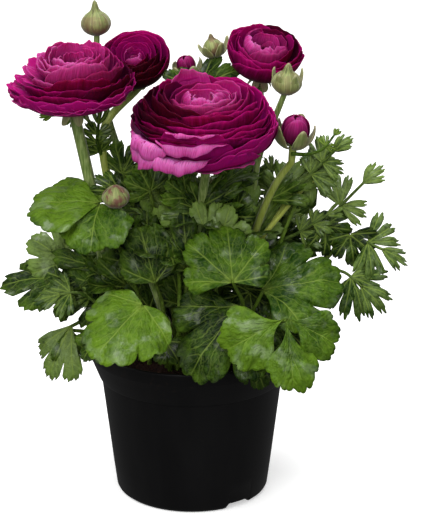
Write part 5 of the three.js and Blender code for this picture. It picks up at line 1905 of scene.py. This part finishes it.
class RANUNCULUS_OT_peat(bpy.types.Operator):
    """Builds the peat with its loose crumbs"""

    bl_idname = "ranunculus.peat"
    bl_label = "Peat"

    def execute(self, context):
        growth = Growth()
        add_peat(growth)
        add_crumbs(growth, context.scene.ranunculus_sizes.crumb_count)
        growth.piece("peat_bed", finish_of("crumbly_peat"), "peat", "soil")
        return {"FINISHED"}


# Half the width of the floor in metres
FLOOR = 9

# Lights in watts and metres: name, power, size and place
LIGHTS = [
    ["key", 24.0, 1.6, (-0.6, -0.85, 1.3)],
    ["front", 8.0, 1.2, (0.15, -1.5, 0.7)],
    ["fill", 3.0, 1.2, (1.3, -0.9, 0.9)],
    ["top", 16.0, 0.8, (0.15, 0.25, 1.7)],
    ["back", 5.0, 1.2, (0.3, 1.5, 0.9)],
]
LIGHTS_AIM = (0, 0, 0.15)
SKY_STRENGTH = 0.20

# The photo's camera: place in metres, degrees downwards, and the focal length and the photo's
# height, both in pixels of the photo
CAMERA_PLACE = (0.012, -1.227, 0.5545)
CAMERA_DOWN = 18.63
FOCAL_LENGTH, PHOTO_HEIGHT = 2260, 514
SENSOR = 36


class RANUNCULUS_OT_stage(bpy.types.Operator):
    """Sets the pale floor, the soft lights and the camera"""

    bl_idname = "ranunculus.stage"
    bl_label = "Stage"

    def execute(self, context):
        scene = context.scene
        mesh = bpy.data.meshes.new("studio_floor")
        corners = [(FLOOR * x, FLOOR * y, 0) for x, y in ((-1, -1), (1, -1), (1, 1), (-1, 1))]
        mesh.from_pydata(corners, [], [(0, 1, 2, 3)])
        mesh.materials.append(finish_of("studio_paper"))
        floor = bpy.data.objects.new("studio_floor", mesh)
        scene.collection.objects.link(floor)
        floor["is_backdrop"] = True
        floor.visible_diffuse = floor.visible_glossy = False
        for name, power, size, place in LIGHTS:
            light = bpy.data.lights.new(name, "AREA")
            light.energy, light.size = power, size
            lamp = bpy.data.objects.new(name, light)
            scene.collection.objects.link(lamp)
            way = unit(np.subtract(LIGHTS_AIM, place))
            lamp.location = place
            heading = math.atan2(way[1], way[0]) - math.pi / 2
            lamp.rotation_euler = (math.acos(-way[2]), 0, heading)
        world = bpy.data.worlds.new("studio")
        world.use_nodes = True
        sky = world.node_tree.nodes["Background"]
        sky.inputs["Color"].default_value = (1, 1, 1, 1)
        sky.inputs["Strength"].default_value = SKY_STRENGTH
        scene.world = world
        scene.view_settings.view_transform = "Standard"
        lens = bpy.data.cameras.new("photo_camera")
        lens.sensor_width = SENSOR
        lens.lens = FOCAL_LENGTH / PHOTO_HEIGHT * SENSOR
        lens.clip_start, lens.clip_end = 0.05, 30
        camera = bpy.data.objects.new("photo_camera", lens)
        camera.location = CAMERA_PLACE
        camera.rotation_euler = (math.radians(90 - CAMERA_DOWN), 0, 0)
        scene.collection.objects.link(camera)
        scene.camera = camera
        return {"FINISHED"}


STEPS = (
    RANUNCULUS_OT_stage, RANUNCULUS_OT_pot, RANUNCULUS_OT_peat, RANUNCULUS_OT_blooms,
    RANUNCULUS_OT_bud_petals, RANUNCULUS_OT_stems, RANUNCULUS_OT_buds, RANUNCULUS_OT_leaves,
    RANUNCULUS_OT_feathers, RANUNCULUS_OT_undergrowth,
)


class RANUNCULUS_PT_panel(bpy.types.Panel):
    """Lists the steps that build the plant"""

    bl_idname = "RANUNCULUS_PT_panel"
    bl_label = "Potted Ranunculus"
    bl_space_type = "VIEW_3D"
    bl_region_type = "UI"
    bl_category = "Ranunculus"

    def draw(self, context):
        for step in STEPS:
            self.layout.operator(step.bl_idname)
        sizes = context.scene.ranunculus_sizes
        for key in ("petal_thickness", "leaf_thickness", "crumb_count"):
            self.layout.prop(sizes, key)


CLASSES = (RanunculusColors, RanunculusSizes, *STEPS, RANUNCULUS_PT_panel)


def register():
    for item in CLASSES:
        bpy.utils.register_class(item)
    bpy.types.Scene.ranunculus_colors = bpy.props.PointerProperty(type=RanunculusColors)
    bpy.types.Scene.ranunculus_sizes = bpy.props.PointerProperty(type=RanunculusSizes)


def unregister():
    del bpy.types.Scene.ranunculus_sizes
    del bpy.types.Scene.ranunculus_colors
    for item in reversed(CLASSES):
        bpy.utils.unregister_class(item)


def main():
    register()
    for step in STEPS:
        family, name = step.bl_idname.split(".")
        if getattr(getattr(bpy.ops, family), name)() != {"FINISHED"}:
            raise RuntimeError(f"{step.bl_label} did not finish")
    boxes = {"cad": CAD_BOX, "visual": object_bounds()}
    {key: [list(corner) for corner in box] for key, box in boxes.items()}


if __name__ == "__main__":
    main()
